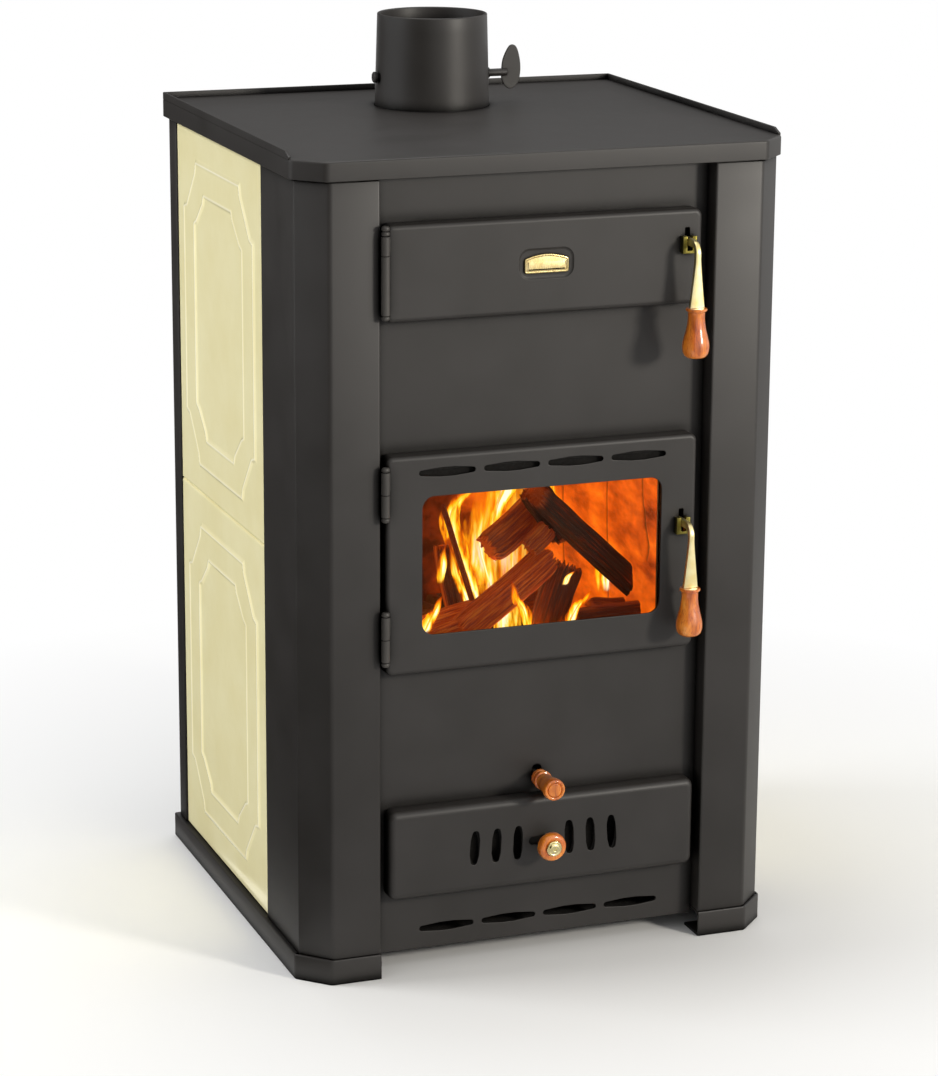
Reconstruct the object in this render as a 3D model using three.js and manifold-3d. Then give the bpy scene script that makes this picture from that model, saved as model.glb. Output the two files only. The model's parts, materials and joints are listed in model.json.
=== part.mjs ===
// A wood-fired boiler stove with glazed tiles on its sides, in millimetres.
// +Z is up, the front faces -Y, and the origin is on the floor under the middle of the whole stove.
// Sizes called front or back of a piece are distances forward of the middle of the body.
import * as THREE from 'three';
import { mergeVertices } from 'three/addons/utils/BufferGeometryUtils.js';
import Module from 'manifold-3d';

const wasm = await Module();
wasm.setup();

// Driving sizes
const bodyWidth = 570;
const bodyDepth = 530;
const rimHeight = 930;
const rimRise = 7;
const plinthHeight = 29.8;
const casingInset = 5;
const casingDrop = 30;
const postInner = 193.5;
const postSetback = 2;
const panelRecess = 23;
const panelThickness = 4;
const doorRise = 24;
const doorMiddle = -5;
const doorHalfWidth = 183;
const doorwayHalfWidth = 147;
const topDoorDrop = 48;
const topDoorHeight = 105.5;
const fireDoorHeight = 246.5;
const fireDoorRiseShare = 0.5196;
const ashDrawerHeight = 104;
const ashDrawerTop = 194;
const chamberHalfWidth = 172;
const chamberRear = 190;
const jacketWall = 36;
const jacketDrop = 20;
const grateBottom = 222;
const tileJointRise = 6;
const tileFrontEdge = 111;
const tileRearEdge = 228;
const collarHeight = 106.5;
const collarRear = 117.8;
const damperRise = 34;
const socketProud = 20;

// Clearances
const seatGap = 0.3;
const doorGap = 1.5;
const overrun = 5;

// Values that several pieces share
const halfWidth = bodyWidth / 2;
const halfDepth = bodyDepth / 2;
const casingSide = halfWidth - casingInset;
const rearReach = halfDepth + socketProud;
const postFront = halfDepth - postSetback;
const panelFront = postFront - panelRecess;
const panelBack = panelFront - panelThickness;
const doorFront = panelFront + doorRise;
const ashDrawerBottom = ashDrawerTop - ashDrawerHeight;
const plateTop = rimHeight - rimRise;
const collarTop = plateTop + collarHeight;
const damperHeight = plateTop + damperRise;
const plateSheet = 3;
const plateUnder = plateTop - plateSheet;
const casingTop = rimHeight - casingDrop;
const topDoorTop = casingTop - topDoorDrop;
const topDoorBottom = topDoorTop - topDoorHeight;
const doorSpace = topDoorBottom - ashDrawerTop - fireDoorHeight;
const fireDoorBottom = ashDrawerTop + fireDoorRiseShare * doorSpace;
const fireDoorTop = fireDoorBottom + fireDoorHeight;
const jacketTop = casingTop - jacketDrop;
const jacketSide = chamberHalfWidth + jacketWall;
const jacketRear = chamberRear + jacketWall;
const jacketFront = panelBack - seatGap;
const doorWall = 2.5;
const shellInside = doorFront - doorWall;
const cutShare = 2 - Math.SQRT2;

// Counts that set how finely round shapes are cut
const arcSteps = 4;
const tipSteps = 2;
const edgeSteps = 2;
const turnSteps = 16;
const collarSteps = 36;

const finish = (color, roughness, metalness) => ({ color, roughness, metalness });
const stovePaint = finish(0x4b4a48, 0.55, 0.3);
const innerSteel = finish(0x3a3a3c, 0.7, 0.6);
const castIron = finish(0x2e2d2c, 0.8, 0.4);
const creamGlaze = finish(0xe6dfb6, 0.2, 0);
const fireclay = finish(0xb98b62, 0.95, 0);
const ropeFibre = finish(0x8b8a86, 1, 0);
const ceramicGlass = finish(0x8f8a80, 0.1, 0);
const paleBrass = finish(0xe6d28a, 0.25, 1);
const lacqueredWood = finish(0xb5602a, 0.35, 0);
const brightSteel = finish(0x9a9b9c, 0.35, 0.9);

// Closes a geometry: shared corners are merged, empty triangles dropped and the faces turned outwards.
function closedForm(geometry) {
  const bare = geometry.clone();
  bare.deleteAttribute('normal');
  bare.deleteAttribute('uv');
  const merged = mergeVertices(bare);
  const corners = merged.getIndex().array;
  const spots = merged.getAttribute('position');
  const kept = [];
  const [a, b, c] = [new THREE.Vector3(), new THREE.Vector3(), new THREE.Vector3()];
  let volume = 0;
  for (let i = 0; i < corners.length; i += 3) {
    const [p, q, r] = [corners[i], corners[i + 1], corners[i + 2]];
    if (p === q || q === r || r === p) continue;
    kept.push(p, q, r);
    a.fromBufferAttribute(spots, p);
    b.fromBufferAttribute(spots, q);
    c.fromBufferAttribute(spots, r);
    volume += a.dot(b.cross(c));
  }
  if (volume < 0) kept.reverse();
  merged.setIndex(kept);
  return merged;
}

function toSolid(geometry) {
  const form = closedForm(geometry);
  const vertProperties = new Float32Array(form.getAttribute('position').array);
  const triVerts = new Uint32Array(form.getIndex().array);
  return new wasm.Manifold(new wasm.Mesh({ numProp: 3, vertProperties, triVerts }));
}

function fromSolid(solid) {
  const mesh = solid.getMesh();
  const geometry = new THREE.BufferGeometry();
  geometry.setAttribute('position', new THREE.BufferAttribute(new Float32Array(mesh.vertProperties), 3));
  geometry.setIndex(Array.from(mesh.triVerts));
  return closedForm(geometry);
}

const cutAway = (body, ...tools) => fromSolid(
  tools.reduce((rest, tool) => rest.subtract(toSolid(tool)), toSolid(body)));

const joined = (body, ...others) => fromSolid(
  others.reduce((sum, other) => sum.add(toSolid(other)), toSolid(body)));

const mirrored = (geometry) => closedForm(geometry.clone().scale(-1, 1, 1));

// A straight-sided block between two corners.
function block(x0, x1, y0, y1, z0, z1) {
  const form = new THREE.BoxGeometry(x1 - x0, y1 - y0, z1 - z0);
  return form.translate((x0 + x1) / 2, (y0 + y1) / 2, (z0 + z1) / 2);
}

const outline = (points) => new THREE.Shape(points.map(([x, y]) => new THREE.Vector2(x, y)));

// Outlines drawn flat and given a thickness: on plan and on the front.
function prism(shape, from, to, curveSegments = arcSteps) {
  const form = new THREE.ExtrudeGeometry(shape, { depth: to - from, bevelEnabled: false, curveSegments });
  return form.translate(0, 0, from);
}
const onPlan = prism;
const onFront = (shape, from, to) => prism(shape, from, to).rotateX(Math.PI / 2);

function roundedRect(middleX, bottom, top, half, radius, path = new THREE.Shape()) {
  const [left, right] = [middleX - half, middleX + half];
  path.moveTo(left + radius, bottom);
  path.lineTo(right - radius, bottom);
  path.absarc(right - radius, bottom + radius, radius, -Math.PI / 2, 0, false);
  path.absarc(right - radius, top - radius, radius, 0, Math.PI / 2, false);
  path.absarc(left + radius, top - radius, radius, Math.PI / 2, Math.PI, false);
  path.absarc(left + radius, bottom + radius, radius, Math.PI, Math.PI * 3 / 2, false);
  return path;
}
const roundedHole = (...sizes) => roundedRect(...sizes, new THREE.Path());

// A slot that swells from two blunt ends to a flat middle, turned by an angle about its own middle.
function lensSlot(x, y, slot, angle = 0) {
  const path = new THREE.Path();
  const tip = slot.end / 2;
  const reach = slot.length / 2 - tip;
  const flat = slot.flat / 2;
  const bulge = slot.middle / 2;
  path.moveTo(-reach, -tip);
  path.lineTo(-flat, -bulge);
  path.lineTo(flat, -bulge);
  path.lineTo(reach, -tip);
  path.absarc(reach, 0, tip, -Math.PI / 2, Math.PI / 2, false);
  path.lineTo(flat, bulge);
  path.lineTo(-flat, bulge);
  path.absarc(-reach, 0, tip, Math.PI / 2, Math.PI * 3 / 2, false);
  const turned = path.getPoints(tipSteps).map((point) => point
    .rotateAround(new THREE.Vector2(0, 0), angle).add(new THREE.Vector2(x, y)));
  return new THREE.Path(turned);
}
const asShape = (path) => new THREE.Shape(path.getPoints(arcSteps));

// The outline of a folded sheet: the line of its outer face and the same line moved in by its thickness.
function foldedSheet(line, thickness) {
  const points = line.map(([x, y]) => new THREE.Vector2(x, y));
  const inward = (from, to) => {
    const along = to.clone().sub(from).normalize();
    return new THREE.Vector2(-along.y, along.x);
  };
  const inner = points.map((point, i) => {
    const before = i > 0 ? inward(points[i - 1], point) : inward(point, points[i + 1]);
    const after = i < points.length - 1 ? inward(point, points[i + 1]) : before;
    const lean = thickness / (1 + before.dot(after));
    return point.clone().addScaledVector(before.clone().add(after), lean);
  });
  return new THREE.Shape([...points, ...inner.reverse()]);
}

// A turned form: radius and height pairs round the Z axis.
function turned(profile, steps = turnSteps) {
  const points = profile.map(([radius, height]) => new THREE.Vector2(radius, height));
  return new THREE.LatheGeometry(points, steps).rotateX(Math.PI / 2);
}
const disc = (radius, from, to, steps) => turned([[0, from], [radius, from], [radius, to], [0, to]], steps);
const ring = (inner, outer, from, to, steps) => turned(
  [[inner, from], [outer, from], [outer, to], [inner, to], [inner, from]], steps);
const alongX = (geometry) => geometry.rotateY(Math.PI / 2);
const towardsFront = (geometry) => geometry.rotateX(Math.PI / 2);
const towardsRear = (geometry) => geometry.rotateX(-Math.PI / 2);

// A plate with a rounded front edge, from its back to its front.
function roundedFront(shape, back, front, edge) {
  const form = new THREE.ExtrudeGeometry(shape, {
    depth: front - back, bevelEnabled: true, bevelThickness: edge, bevelSize: edge,
    bevelOffset: -edge, bevelSegments: edgeSteps, curveSegments: arcSteps });
  return form.translate(0, 0, back - edge);
}

// A pressed sheet tray that is open at the back, with rounded corners and a rounded front edge.
function pressedShell({ middleX, bottom, top, half, corner, edge, front, back, wall }) {
  const shape = (inset) => roundedRect(
    middleX, bottom + inset, top - inset, half - inset, corner - inset);
  const skin = roundedFront(shape(0), back, front, edge).rotateX(Math.PI / 2);
  const behind = back - overrun - edge * 2;
  const hollow = roundedFront(shape(wall), behind, front - wall, edge - wall).rotateX(Math.PI / 2);
  const waste = block(middleX - half - overrun, middleX + half + overrun, -back, -behind,
    bottom - overrun, top + overrun);
  return cutAway(skin, hollow, waste);
}

// Plinth: channel rails that are open towards the middle
const plinthBand = 40;
const plinthSheet = 3;
const plinthCorner = 33;

function sidePlinth() {
  const shape = (sheet, past) => {
    const corner = plinthCorner - sheet * cutShare;
    const [side, face] = [halfWidth - sheet, halfDepth - sheet];
    const [innerSide, innerFace] = [halfWidth - plinthBand - past, halfDepth - plinthBand - past];
    return outline([[side, face], [innerSide, face], [innerSide, -innerFace],
      [postInner + sheet, -innerFace], [postInner + sheet, -face], [side - corner, -face],
      [side, -face + corner]]);
  };
  const rail = onPlan(shape(0, 0), 0, plinthHeight);
  return cutAway(rail, onPlan(shape(plinthSheet, overrun), plinthSheet, plinthHeight - plinthSheet));
}

function rearPlinth() {
  const reach = halfWidth - plinthBand - seatGap;
  const inner = halfDepth - plinthBand;
  const rail = block(-reach, reach, inner, halfDepth, 0, plinthHeight);
  return cutAway(rail, block(-reach + plinthSheet, reach - plinthSheet, inner - overrun,
    halfDepth - plinthSheet, plinthSheet, plinthHeight - plinthSheet));
}

// Base plate: it lies on the inner edge of the plinth and carries the boiler body
const standLevel = plinthHeight + seatGap;
const basePlateInset = { side: 19, rear: 12 };
const basePlateHalf = casingSide - basePlateInset.side;
const basePlateRear = halfDepth - basePlateInset.rear;
const basePlateSheet = 2;
const basePlateTop = standLevel + basePlateSheet;

const basePlate = () => block(
  -basePlateHalf, basePlateHalf, -jacketFront, basePlateRear, standLevel, basePlateTop);

// Corner posts at the front and stiles at the rear: folded sheet with a tab that carries the top plate
const postSheet = 2;
const postReturn = 18;
const postCutX = 30;
const postCutY = 31;
const tabDepth = 7;
const tabLap = 1;
const tabFoot = 20;
const postTabFront = 228;
const postTabRear = 130;
const stileTab = { front: 4, rear: 27 };
const stileDepth = 30;
const stileRear = tileRearEdge + stileDepth;
const stileReturn = 40;

function topTab(front, rear) {
  const side = casingSide - postSheet + tabLap;
  return block(side - tabDepth, side, front, rear, casingTop - tabFoot, plateUnder - seatGap);
}

function frontPost() {
  const seam = -tileFrontEdge - seatGap;
  const line = [[postInner, -panelFront - seatGap], [postInner, -postFront],
    [casingSide - postCutX, -postFront], [casingSide, -postFront + postCutY],
    [casingSide, seam], [casingSide - postReturn, seam]];
  const cover = onPlan(foldedSheet(line, postSheet), standLevel, casingTop);
  return joined(cover, topTab(-postTabFront, -postTabRear));
}

function rearStile() {
  const seam = tileRearEdge + seatGap;
  const line = [[casingSide - postReturn, seam], [casingSide, seam],
    [casingSide, stileRear], [casingSide - stileReturn, stileRear]];
  const cover = onPlan(foldedSheet(line, postSheet), standLevel, casingTop);
  return joined(cover, topTab(tileRearEdge + stileTab.front, tileRearEdge + stileTab.rear));
}

// Side tiles: a glazed slab with a raised band between two outlines with notched corners
const tileThickness = 10.5;
const tileInset = 1.5;
const tileBack = casingSide - tileInset - tileThickness;
const tileCorner = 3;
const tileEdge = 2.2;
const tileDrop = 2;
const tileTop = casingTop - tileDrop;
const tileJoint = (standLevel + tileTop) / 2 + tileJointRise;
const bandRise = 2;
const bandLap = 1;
const bandBevel = 1;
const bandMargin = { side: 29.5, end: 33 };
const bandWidth = { side: 45.5, end: 38 };
const tileHalf = (tileRearEdge + tileFrontEdge) / 2;
const bandOuter = { notchX: 52, notchY: 58, stepX: 4, stepY: 13,
  half: tileHalf - bandMargin.side, halfHeight: (tileTop - tileJoint) / 2 - bandMargin.end };
const bandInner = { notchX: 40, notchY: 37, stepX: 4, stepY: 9,
  half: bandOuter.half - bandWidth.side, halfHeight: bandOuter.halfHeight - bandWidth.end };
const sideSheetThickness = 1.5;

function notchedOutline(middle, height, band, path) {
  const corner = [[band.half, band.halfHeight - band.notchY],
    [band.half - band.stepY, band.halfHeight - band.notchY + band.stepX],
    [band.half - band.notchX + band.stepX, band.halfHeight - band.stepY],
    [band.half - band.notchX, band.halfHeight]];
  const turnedCorner = [...corner].reverse();
  const points = [...corner, ...turnedCorner.map(([y, z]) => [-y, z]),
    ...corner.map(([y, z]) => [-y, -z]), ...turnedCorner.map(([y, z]) => [y, -z])];
  return path.setFromPoints(points.map(([y, z]) => new THREE.Vector2(middle + y, height + z)));
}

function sideTile(bottom, top) {
  const middle = (tileRearEdge - tileFrontEdge) / 2;
  const half = tileHalf;
  const face = tileBack + tileThickness;
  const upright = (form) => form.rotateX(Math.PI / 2).rotateZ(Math.PI / 2);
  const slab = cutAway(
    upright(roundedFront(roundedRect(middle, bottom, top, half, tileCorner), tileBack, face, tileEdge)),
    block(tileBack - tileEdge * 2 - overrun, tileBack, middle - half - overrun,
      middle + half + overrun, bottom - overrun, top + overrun));
  const height = (bottom + top) / 2;
  const band = notchedOutline(middle, height, bandOuter, new THREE.Shape());
  band.holes.push(notchedOutline(middle, height, bandInner, new THREE.Path()));
  const raised = new THREE.ExtrudeGeometry(band, {
    depth: bandRise + bandLap, bevelEnabled: true, bevelThickness: bandBevel,
    bevelSize: bandBevel, bevelOffset: -bandBevel, bevelSegments: 1, curveSegments: arcSteps });
  return joined(slab, upright(raised.translate(0, 0, face - bandLap - bandBevel)));
}

const sideSheet = () => block(tileBack - seatGap - sideSheetThickness, tileBack - seatGap,
  -tileFrontEdge, tileRearEdge, standLevel, casingTop);

// Top plate: a tray with an upstand on three sides, a skirt all round and the hole for the flue
const plateCorner = 31;
const skirtLift = 1.5;
const skirtBottom = casingTop + skirtLift;
const skirtSheet = 2.5;
const rimWidth = 3;
const collarBase = 67;

function topPlate() {
  const shape = (inset) => {
    const corner = plateCorner - inset * cutShare;
    const [side, face] = [halfWidth - inset, halfDepth - inset];
    return outline([[side, face], [-side, face], [-side, -face + corner], [-side + corner, -face],
      [side - corner, -face], [side, -face + corner]]);
  };
  const tray = block(-halfWidth + rimWidth, halfWidth - rimWidth, -halfDepth - overrun,
    halfDepth - rimWidth, plateTop, rimHeight + overrun);
  const hole = disc(collarBase + seatGap, plateUnder - overrun, plateTop + overrun, collarSteps);
  return cutAway(onPlan(shape(0), skirtBottom, rimHeight), tray,
    onPlan(shape(skirtSheet), skirtBottom - overrun, plateUnder), hole.translate(0, collarRear, 0));
}

// Rear cover with the holes for the water sockets
const coverSheet = 2;
const coverBack = stileRear + seatGap + coverSheet;
const coverInset = { side: 18, bottom: 4.2, top: 4 };
const coverHalf = casingSide - coverInset.side;
const coverBottom = plinthHeight + coverInset.bottom;
const coverTop = casingTop - coverInset.top;
const socketOuter = 21;
const socketBore = 16.6;
const socketHole = 24;
const socketInset = 58;
const socketX = jacketSide - socketInset;
const socketDrop = { flow: 45 };
const socketRise = { return: 63, drain: 40 };
const sockets = {
  flow: { x: socketX, z: jacketTop - socketDrop.flow },
  return: { x: socketX, z: grateBottom + socketRise.return },
  drain: { x: -socketX, z: grateBottom + socketRise.drain },
};

function rearCover() {
  const shape = outline([[-coverHalf, coverBottom], [coverHalf, coverBottom],
    [coverHalf, coverTop], [-coverHalf, coverTop]]);
  for (const { x, z } of Object.values(sockets)) {
    shape.holes.push(new THREE.Path().absarc(x, z, socketHole, 0, Math.PI * 2, false));
  }
  return onFront(shape, -coverBack, -coverBack + coverSheet);
}

// Front plate: the recessed front, with its doorways and slots
const panelInset = 25;
const panelHalf = casingSide - panelInset;
const panelDrop = 2;
const panelTop = casingTop - panelDrop;
const fasciaBottom = 21;
const doorwayCorner = 12;
const fireMargin = { below: 23, above: 27.5 };
const topMargin = { below: 21.5, above: 21 };
const fireDoorway = { bottom: fireDoorBottom + fireMargin.below, top: fireDoorTop - fireMargin.above };
const topDoorway = { bottom: topDoorBottom + topMargin.below, top: topDoorTop - topMargin.above };
const ashDoorway = { side: 3, below: 6.5, above: 7, corner: 4 };
const shakerPlay = { side: 1, below: 2, above: 8.5 };
const longSlot = { length: 65, middle: 10, end: 6, flat: 16 };
const longSlotPitch = 75;
const longSlotCount = 4;
const fasciaSlots = { x: 5, z: 44 };
const leverInset = 18;
const leverStand = 4;
const leverRise = { top: 70.5, fire: 147 };
const leverX = doorMiddle + doorHalfWidth - leverInset;
const leverForward = doorFront + leverStand;
const leverHeights = { top: topDoorBottom + leverRise.top, fire: fireDoorBottom + leverRise.fire };
const latchSlot = { left: 5, right: 8, below: 30, above: 4.5 };
const armTongue = 44;
const tongueDepth = 9;
const keeper = { half: 8.5, depth: 9.7, rise: 13, lap: 2 };

function slotRow(x, z) {
  const first = x - longSlotPitch * (longSlotCount - 1) / 2;
  return Array.from({ length: longSlotCount }, (_, i) => lensSlot(first + i * longSlotPitch, z, longSlot));
}

// The block behind the plate that a lever's tongue lies under when the door is shut.
function latchKeeper(height) {
  const bottom = height + tongueDepth / 2 + seatGap;
  return block(leverX - keeper.half, leverX + keeper.half, -panelBack - keeper.lap,
    -panelBack + keeper.depth, bottom, bottom + keeper.rise);
}

function frontPlate() {
  const foot = postInner - seatGap;
  const shape = outline([[-foot, fasciaBottom], [foot, fasciaBottom], [foot, standLevel],
    [panelHalf, standLevel], [panelHalf, panelTop], [-panelHalf, panelTop],
    [-panelHalf, standLevel], [-foot, standLevel]]);
  const half = rodRadius + shakerPlay.side;
  shape.holes.push(
    roundedHole(doorMiddle, fireDoorway.bottom, fireDoorway.top, doorwayHalfWidth, doorwayCorner),
    roundedHole(doorMiddle, topDoorway.bottom, topDoorway.top, doorwayHalfWidth, doorwayCorner),
    roundedHole(0, ashDrawerBottom + ashDoorway.below, ashDrawerTop - ashDoorway.above,
      ashInner + ashDoorway.side, ashDoorway.corner),
    roundedHole(0, rodHeight - rodRadius - shakerPlay.below, rodHeight + rodRadius + shakerPlay.above,
      half, half),
    ...slotRow(fasciaSlots.x, fasciaSlots.z));
  const latchMiddle = leverX + (latchSlot.right - latchSlot.left) / 2;
  const latchHalf = (latchSlot.right + latchSlot.left) / 2;
  for (const z of Object.values(leverHeights)) {
    shape.holes.push(roundedHole(
      latchMiddle, z - latchSlot.below, z + latchSlot.above, latchHalf, latchHalf / 2));
  }
  return joined(onFront(shape, panelBack, panelFront), ...Object.values(leverHeights).map(latchKeeper));
}

// Boiler body: the lower body, the hollow jacket, its roof, the grate and the lining
const bodySheet = 3;
const ashInner = 155;
const ashFloorRise = 4.3;
const ashFloor = ashDrawerBottom + ashFloorRise;
const railInner = 125;
const movingThickness = 8;
const movingPlay = 2;
const movingBottom = grateBottom - movingPlay - movingThickness;
const railTop = movingBottom - seatGap;
const ashOuter = ashInner + bodySheet;

function ashChamber() {
  const top = grateBottom - seatGap;
  const foot = basePlateTop + seatGap;
  const rearInner = chamberRear - bodySheet;
  const wall = block(ashInner, ashOuter, -jacketFront, chamberRear, foot, top);
  const rail = block(railInner, ashInner + bodySheet / 2, -jacketFront, rearInner + bodySheet / 2,
    railTop - bodySheet, railTop);
  const flange = block(ashInner, jacketSide, -jacketFront, jacketRear, top - bodySheet, top);
  const rear = block(-ashOuter, ashOuter, rearInner, chamberRear, foot, top);
  const rearFlange = block(-ashOuter, ashOuter, rearInner, jacketRear, top - bodySheet, top);
  const floor = block(-ashOuter, ashOuter, -jacketFront, chamberRear, ashFloor, ashFloor + bodySheet);
  return joined(wall, mirrored(wall), floor, rear, rail, mirrored(rail), flange, mirrored(flange),
    rearFlange);
}

function waterJacket() {
  const shape = (sheet) => {
    const [side, rear] = [jacketSide - sheet, jacketRear - sheet];
    const [innerSide, innerRear] = [chamberHalfWidth + sheet, chamberRear + sheet];
    const front = jacketFront - sheet;
    return outline([[side, -front], [side, rear], [-side, rear], [-side, -front],
      [-innerSide, -front], [-innerSide, innerRear], [innerSide, innerRear], [innerSide, -front]]);
  };
  const ports = Object.values(sockets).map(({ x, z }) => towardsRear(
    disc(socketBore, jacketRear - bodySheet - overrun, jacketRear + overrun)).translate(x, 0, z));
  return cutAway(onPlan(shape(0), grateBottom, jacketTop),
    onPlan(shape(bodySheet), grateBottom + bodySheet, jacketTop - bodySheet), ...ports);
}

const waterSocket = () => towardsRear(ring(socketBore, socketOuter, jacketRear + seatGap, rearReach));

const crownSheet = 4;
const crownBottom = jacketTop + seatGap;
const crownTop = crownBottom + crownSheet;
const crownHole = 60;

function crownPlate() {
  const shape = outline([[-jacketSide, -jacketFront], [jacketSide, -jacketFront],
    [jacketSide, jacketRear], [-jacketSide, jacketRear]]);
  shape.holes.push(new THREE.Path().absarc(0, collarRear, crownHole, 0, Math.PI * 2, false));
  return onPlan(shape, crownBottom, crownTop);
}

const grateThickness = 12;
const grateSlot = { half: 100, width: 11 };
const grateSlotPitch = 26;
const grateSlotCount = 8;
const grateMiddle = -10;
const movingHalf = 150;
const movingMargin = 24;
const rodRadius = 4.5;
const rodDrop = 0.5;
const rodHeight = movingBottom - rodDrop;
const rodEar = { half: 12, depth: 14, drop: 10 };
const rodEngaged = 10;

function slottedPlate(half, front, rear, bottom, top) {
  const shape = outline([[-half, front], [half, front], [half, rear], [-half, rear]]);
  const first = grateMiddle - grateSlotPitch * (grateSlotCount - 1) / 2;
  for (let i = 0; i < grateSlotCount; i += 1) {
    const y = first + i * grateSlotPitch;
    shape.holes.push(roundedHole(0, y - grateSlot.width / 2, y + grateSlot.width / 2,
      grateSlot.half, grateSlot.width / 2));
  }
  return onPlan(shape, bottom, top, tipSteps);
}

const fixedGrate = () => slottedPlate(chamberHalfWidth - seatGap, -jacketFront,
  chamberRear - seatGap, grateBottom, grateBottom + grateThickness);

const movingReach = grateSlotPitch * grateSlotCount / 2 + movingMargin;
const movingFront = grateMiddle - movingReach;

function movingGrate() {
  const plate = slottedPlate(movingHalf, movingFront, grateMiddle + movingReach,
    movingBottom, movingBottom + movingThickness);
  const ear = block(-rodEar.half, rodEar.half, movingFront - rodEar.depth, movingFront + rodEar.depth / 2,
    movingBottom - rodEar.drop, movingBottom + movingThickness);
  const clearance = rodRadius + seatGap;
  const socket = towardsFront(disc(clearance, -movingFront + rodEar.depth - rodEngaged - seatGap,
    -movingFront + rodEar.depth + overrun)).translate(0, 0, rodHeight);
  return cutAway(joined(plate, ear), socket);
}

const shakerStand = 7;
const shakerGrip = { length: 50, radius: 12.5, back: panelFront + shakerStand };
const shakerTang = 22;
const shakerGripShares = [[0, 0.62], [0.03, 0.74], [0.11, 0.78], [0.14, 0.64], [0.18, 0.62],
  [0.22, 0.8], [0.27, 0.88], [0.32, 0.82], [0.35, 0.72], [0.45, 0.74], [0.62, 0.84], [0.8, 1],
  [0.9, 1], [0.96, 0.9], [1, 0.7], [1, 0]];

const shakerRod = () => towardsFront(disc(rodRadius, -movingFront + rodEar.depth - rodEngaged,
  shakerGrip.back + shakerTang)).translate(0, 0, rodHeight);

// A turned grip: the bore for its tang first, then the outside from the tang's end to the far end.
function turnedGrip(shares, { length, radius }, bore, depth) {
  const outside = shares.map(([along, wide]) => [wide * radius, along * length]);
  return turned([[0, depth], [bore, depth], [bore, 0], ...outside]);
}

const shakerHandle = () => towardsFront(turnedGrip(
  shakerGripShares, shakerGrip, rodRadius + seatGap, shakerTang + seatGap))
  .translate(0, -shakerGrip.back, rodHeight);

// Fire bricks stand on the fixed grate's rim, and the baffle lies on them
const brickThickness = 24.5;
const brickPlay = 2;
const brickFront = leverForward - armTongue - brickPlay;
const brickTop = 640;
const brickBottom = grateBottom + grateThickness + seatGap;
const brickOuter = chamberHalfWidth - seatGap;
const brickRear = chamberRear - seatGap;
const baffleThickness = 6;
const baffleFront = 90;

const sideBrick = () => block(brickOuter - brickThickness, brickOuter, -brickFront,
  brickRear - brickThickness - seatGap, brickBottom, brickTop);
const rearBrick = () => block(-brickOuter, brickOuter, brickRear - brickThickness, brickRear,
  brickBottom, brickTop);
const bafflePlate = () => block(-brickOuter, brickOuter, -baffleFront, brickRear,
  brickTop + seatGap, brickTop + seatGap + baffleThickness);

// Flue: a tapered collar that stands on the crown plate, with a damper on a spindle
const collarTip = 64;
const collarWall = 3.5;
const collarBottom = crownTop + seatGap;
const collarLip = 1.2;
const taperShare = (damperHeight - plateTop) / (collarTop - collarLip - plateTop);
const boreAtDamper = collarBase - collarWall - (collarBase - collarTip) * taperShare;
const spindleRadius = 4.5;
const spindleLap = 7.2;
const spindleHead = { radius: 6.5, stand: 1, length: 4.5 };
const damperPlay = 1.2;
const damperRadius = boreAtDamper - damperPlay;
const damperSheet = 2;
const leaf = { out: 19.3, width: 24, drop: 20, height: 52, sheet: 2.5 };
const leafLeft = collarBase + leaf.out;
const leafShares = [[0, 0.42, 0, 0.14, 0.22, 0, 0.5, 0], [0.5, 0, 0.84, 0, 1, 0.18, 1, 0.42],
  [1, 0.42, 1, 0.7, 0.78, 1, 0.55, 1], [0.55, 1, 0.34, 1, 0, 0.72, 0, 0.42]];

function flueCollar() {
  const tube = turned([[collarBase - collarWall, collarBottom], [collarBase, collarBottom],
    [collarBase, plateTop], [collarTip, collarTop - collarLip], [collarTip - collarLip, collarTop],
    [collarTip - collarWall + collarLip, collarTop], [collarTip - collarWall, collarTop - collarLip],
    [collarBase - collarWall, plateTop], [collarBase - collarWall, collarBottom]], collarSteps);
  const bore = alongX(disc(spindleRadius + seatGap, -collarBase - overrun, collarBase + overrun));
  return cutAway(tube, bore.translate(0, 0, damperHeight));
}

function damperSpindle() {
  const spindleEnd = leafLeft + spindleLap;
  const headInner = collarBase + spindleHead.stand;
  const headOuter = headInner + spindleHead.length;
  const shaft = alongX(disc(spindleRadius, -headOuter, spindleEnd));
  const head = alongX(disc(spindleHead.radius, -headOuter, -headInner));
  const flat = block(-damperRadius - seatGap, damperRadius + seatGap, -spindleRadius - overrun,
    damperSheet / 2 + seatGap, -spindleRadius - overrun, spindleRadius + overrun);
  const slit = block(leafLeft - seatGap, spindleEnd + overrun, -leaf.sheet / 2 - seatGap,
    leaf.sheet / 2 + seatGap, -spindleRadius - overrun, spindleRadius + overrun);
  return cutAway(joined(shaft, head), flat, slit);
}

const damperPlate = () => towardsFront(disc(damperRadius, -damperSheet / 2, damperSheet / 2, collarSteps));

function damperHandle() {
  const shape = new THREE.Shape();
  const x = (share) => leafLeft + share * leaf.width;
  const z = (share) => share * leaf.height - leaf.drop;
  shape.moveTo(x(leafShares[0][0]), z(leafShares[0][1]));
  for (const [, , x1, z1, x2, z2, x3, z3] of leafShares) {
    shape.bezierCurveTo(x(x1), z(z1), x(x2), z(z2), x(x3), z(z3));
  }
  return onFront(shape, -leaf.sheet / 2, leaf.sheet / 2);
}

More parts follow.
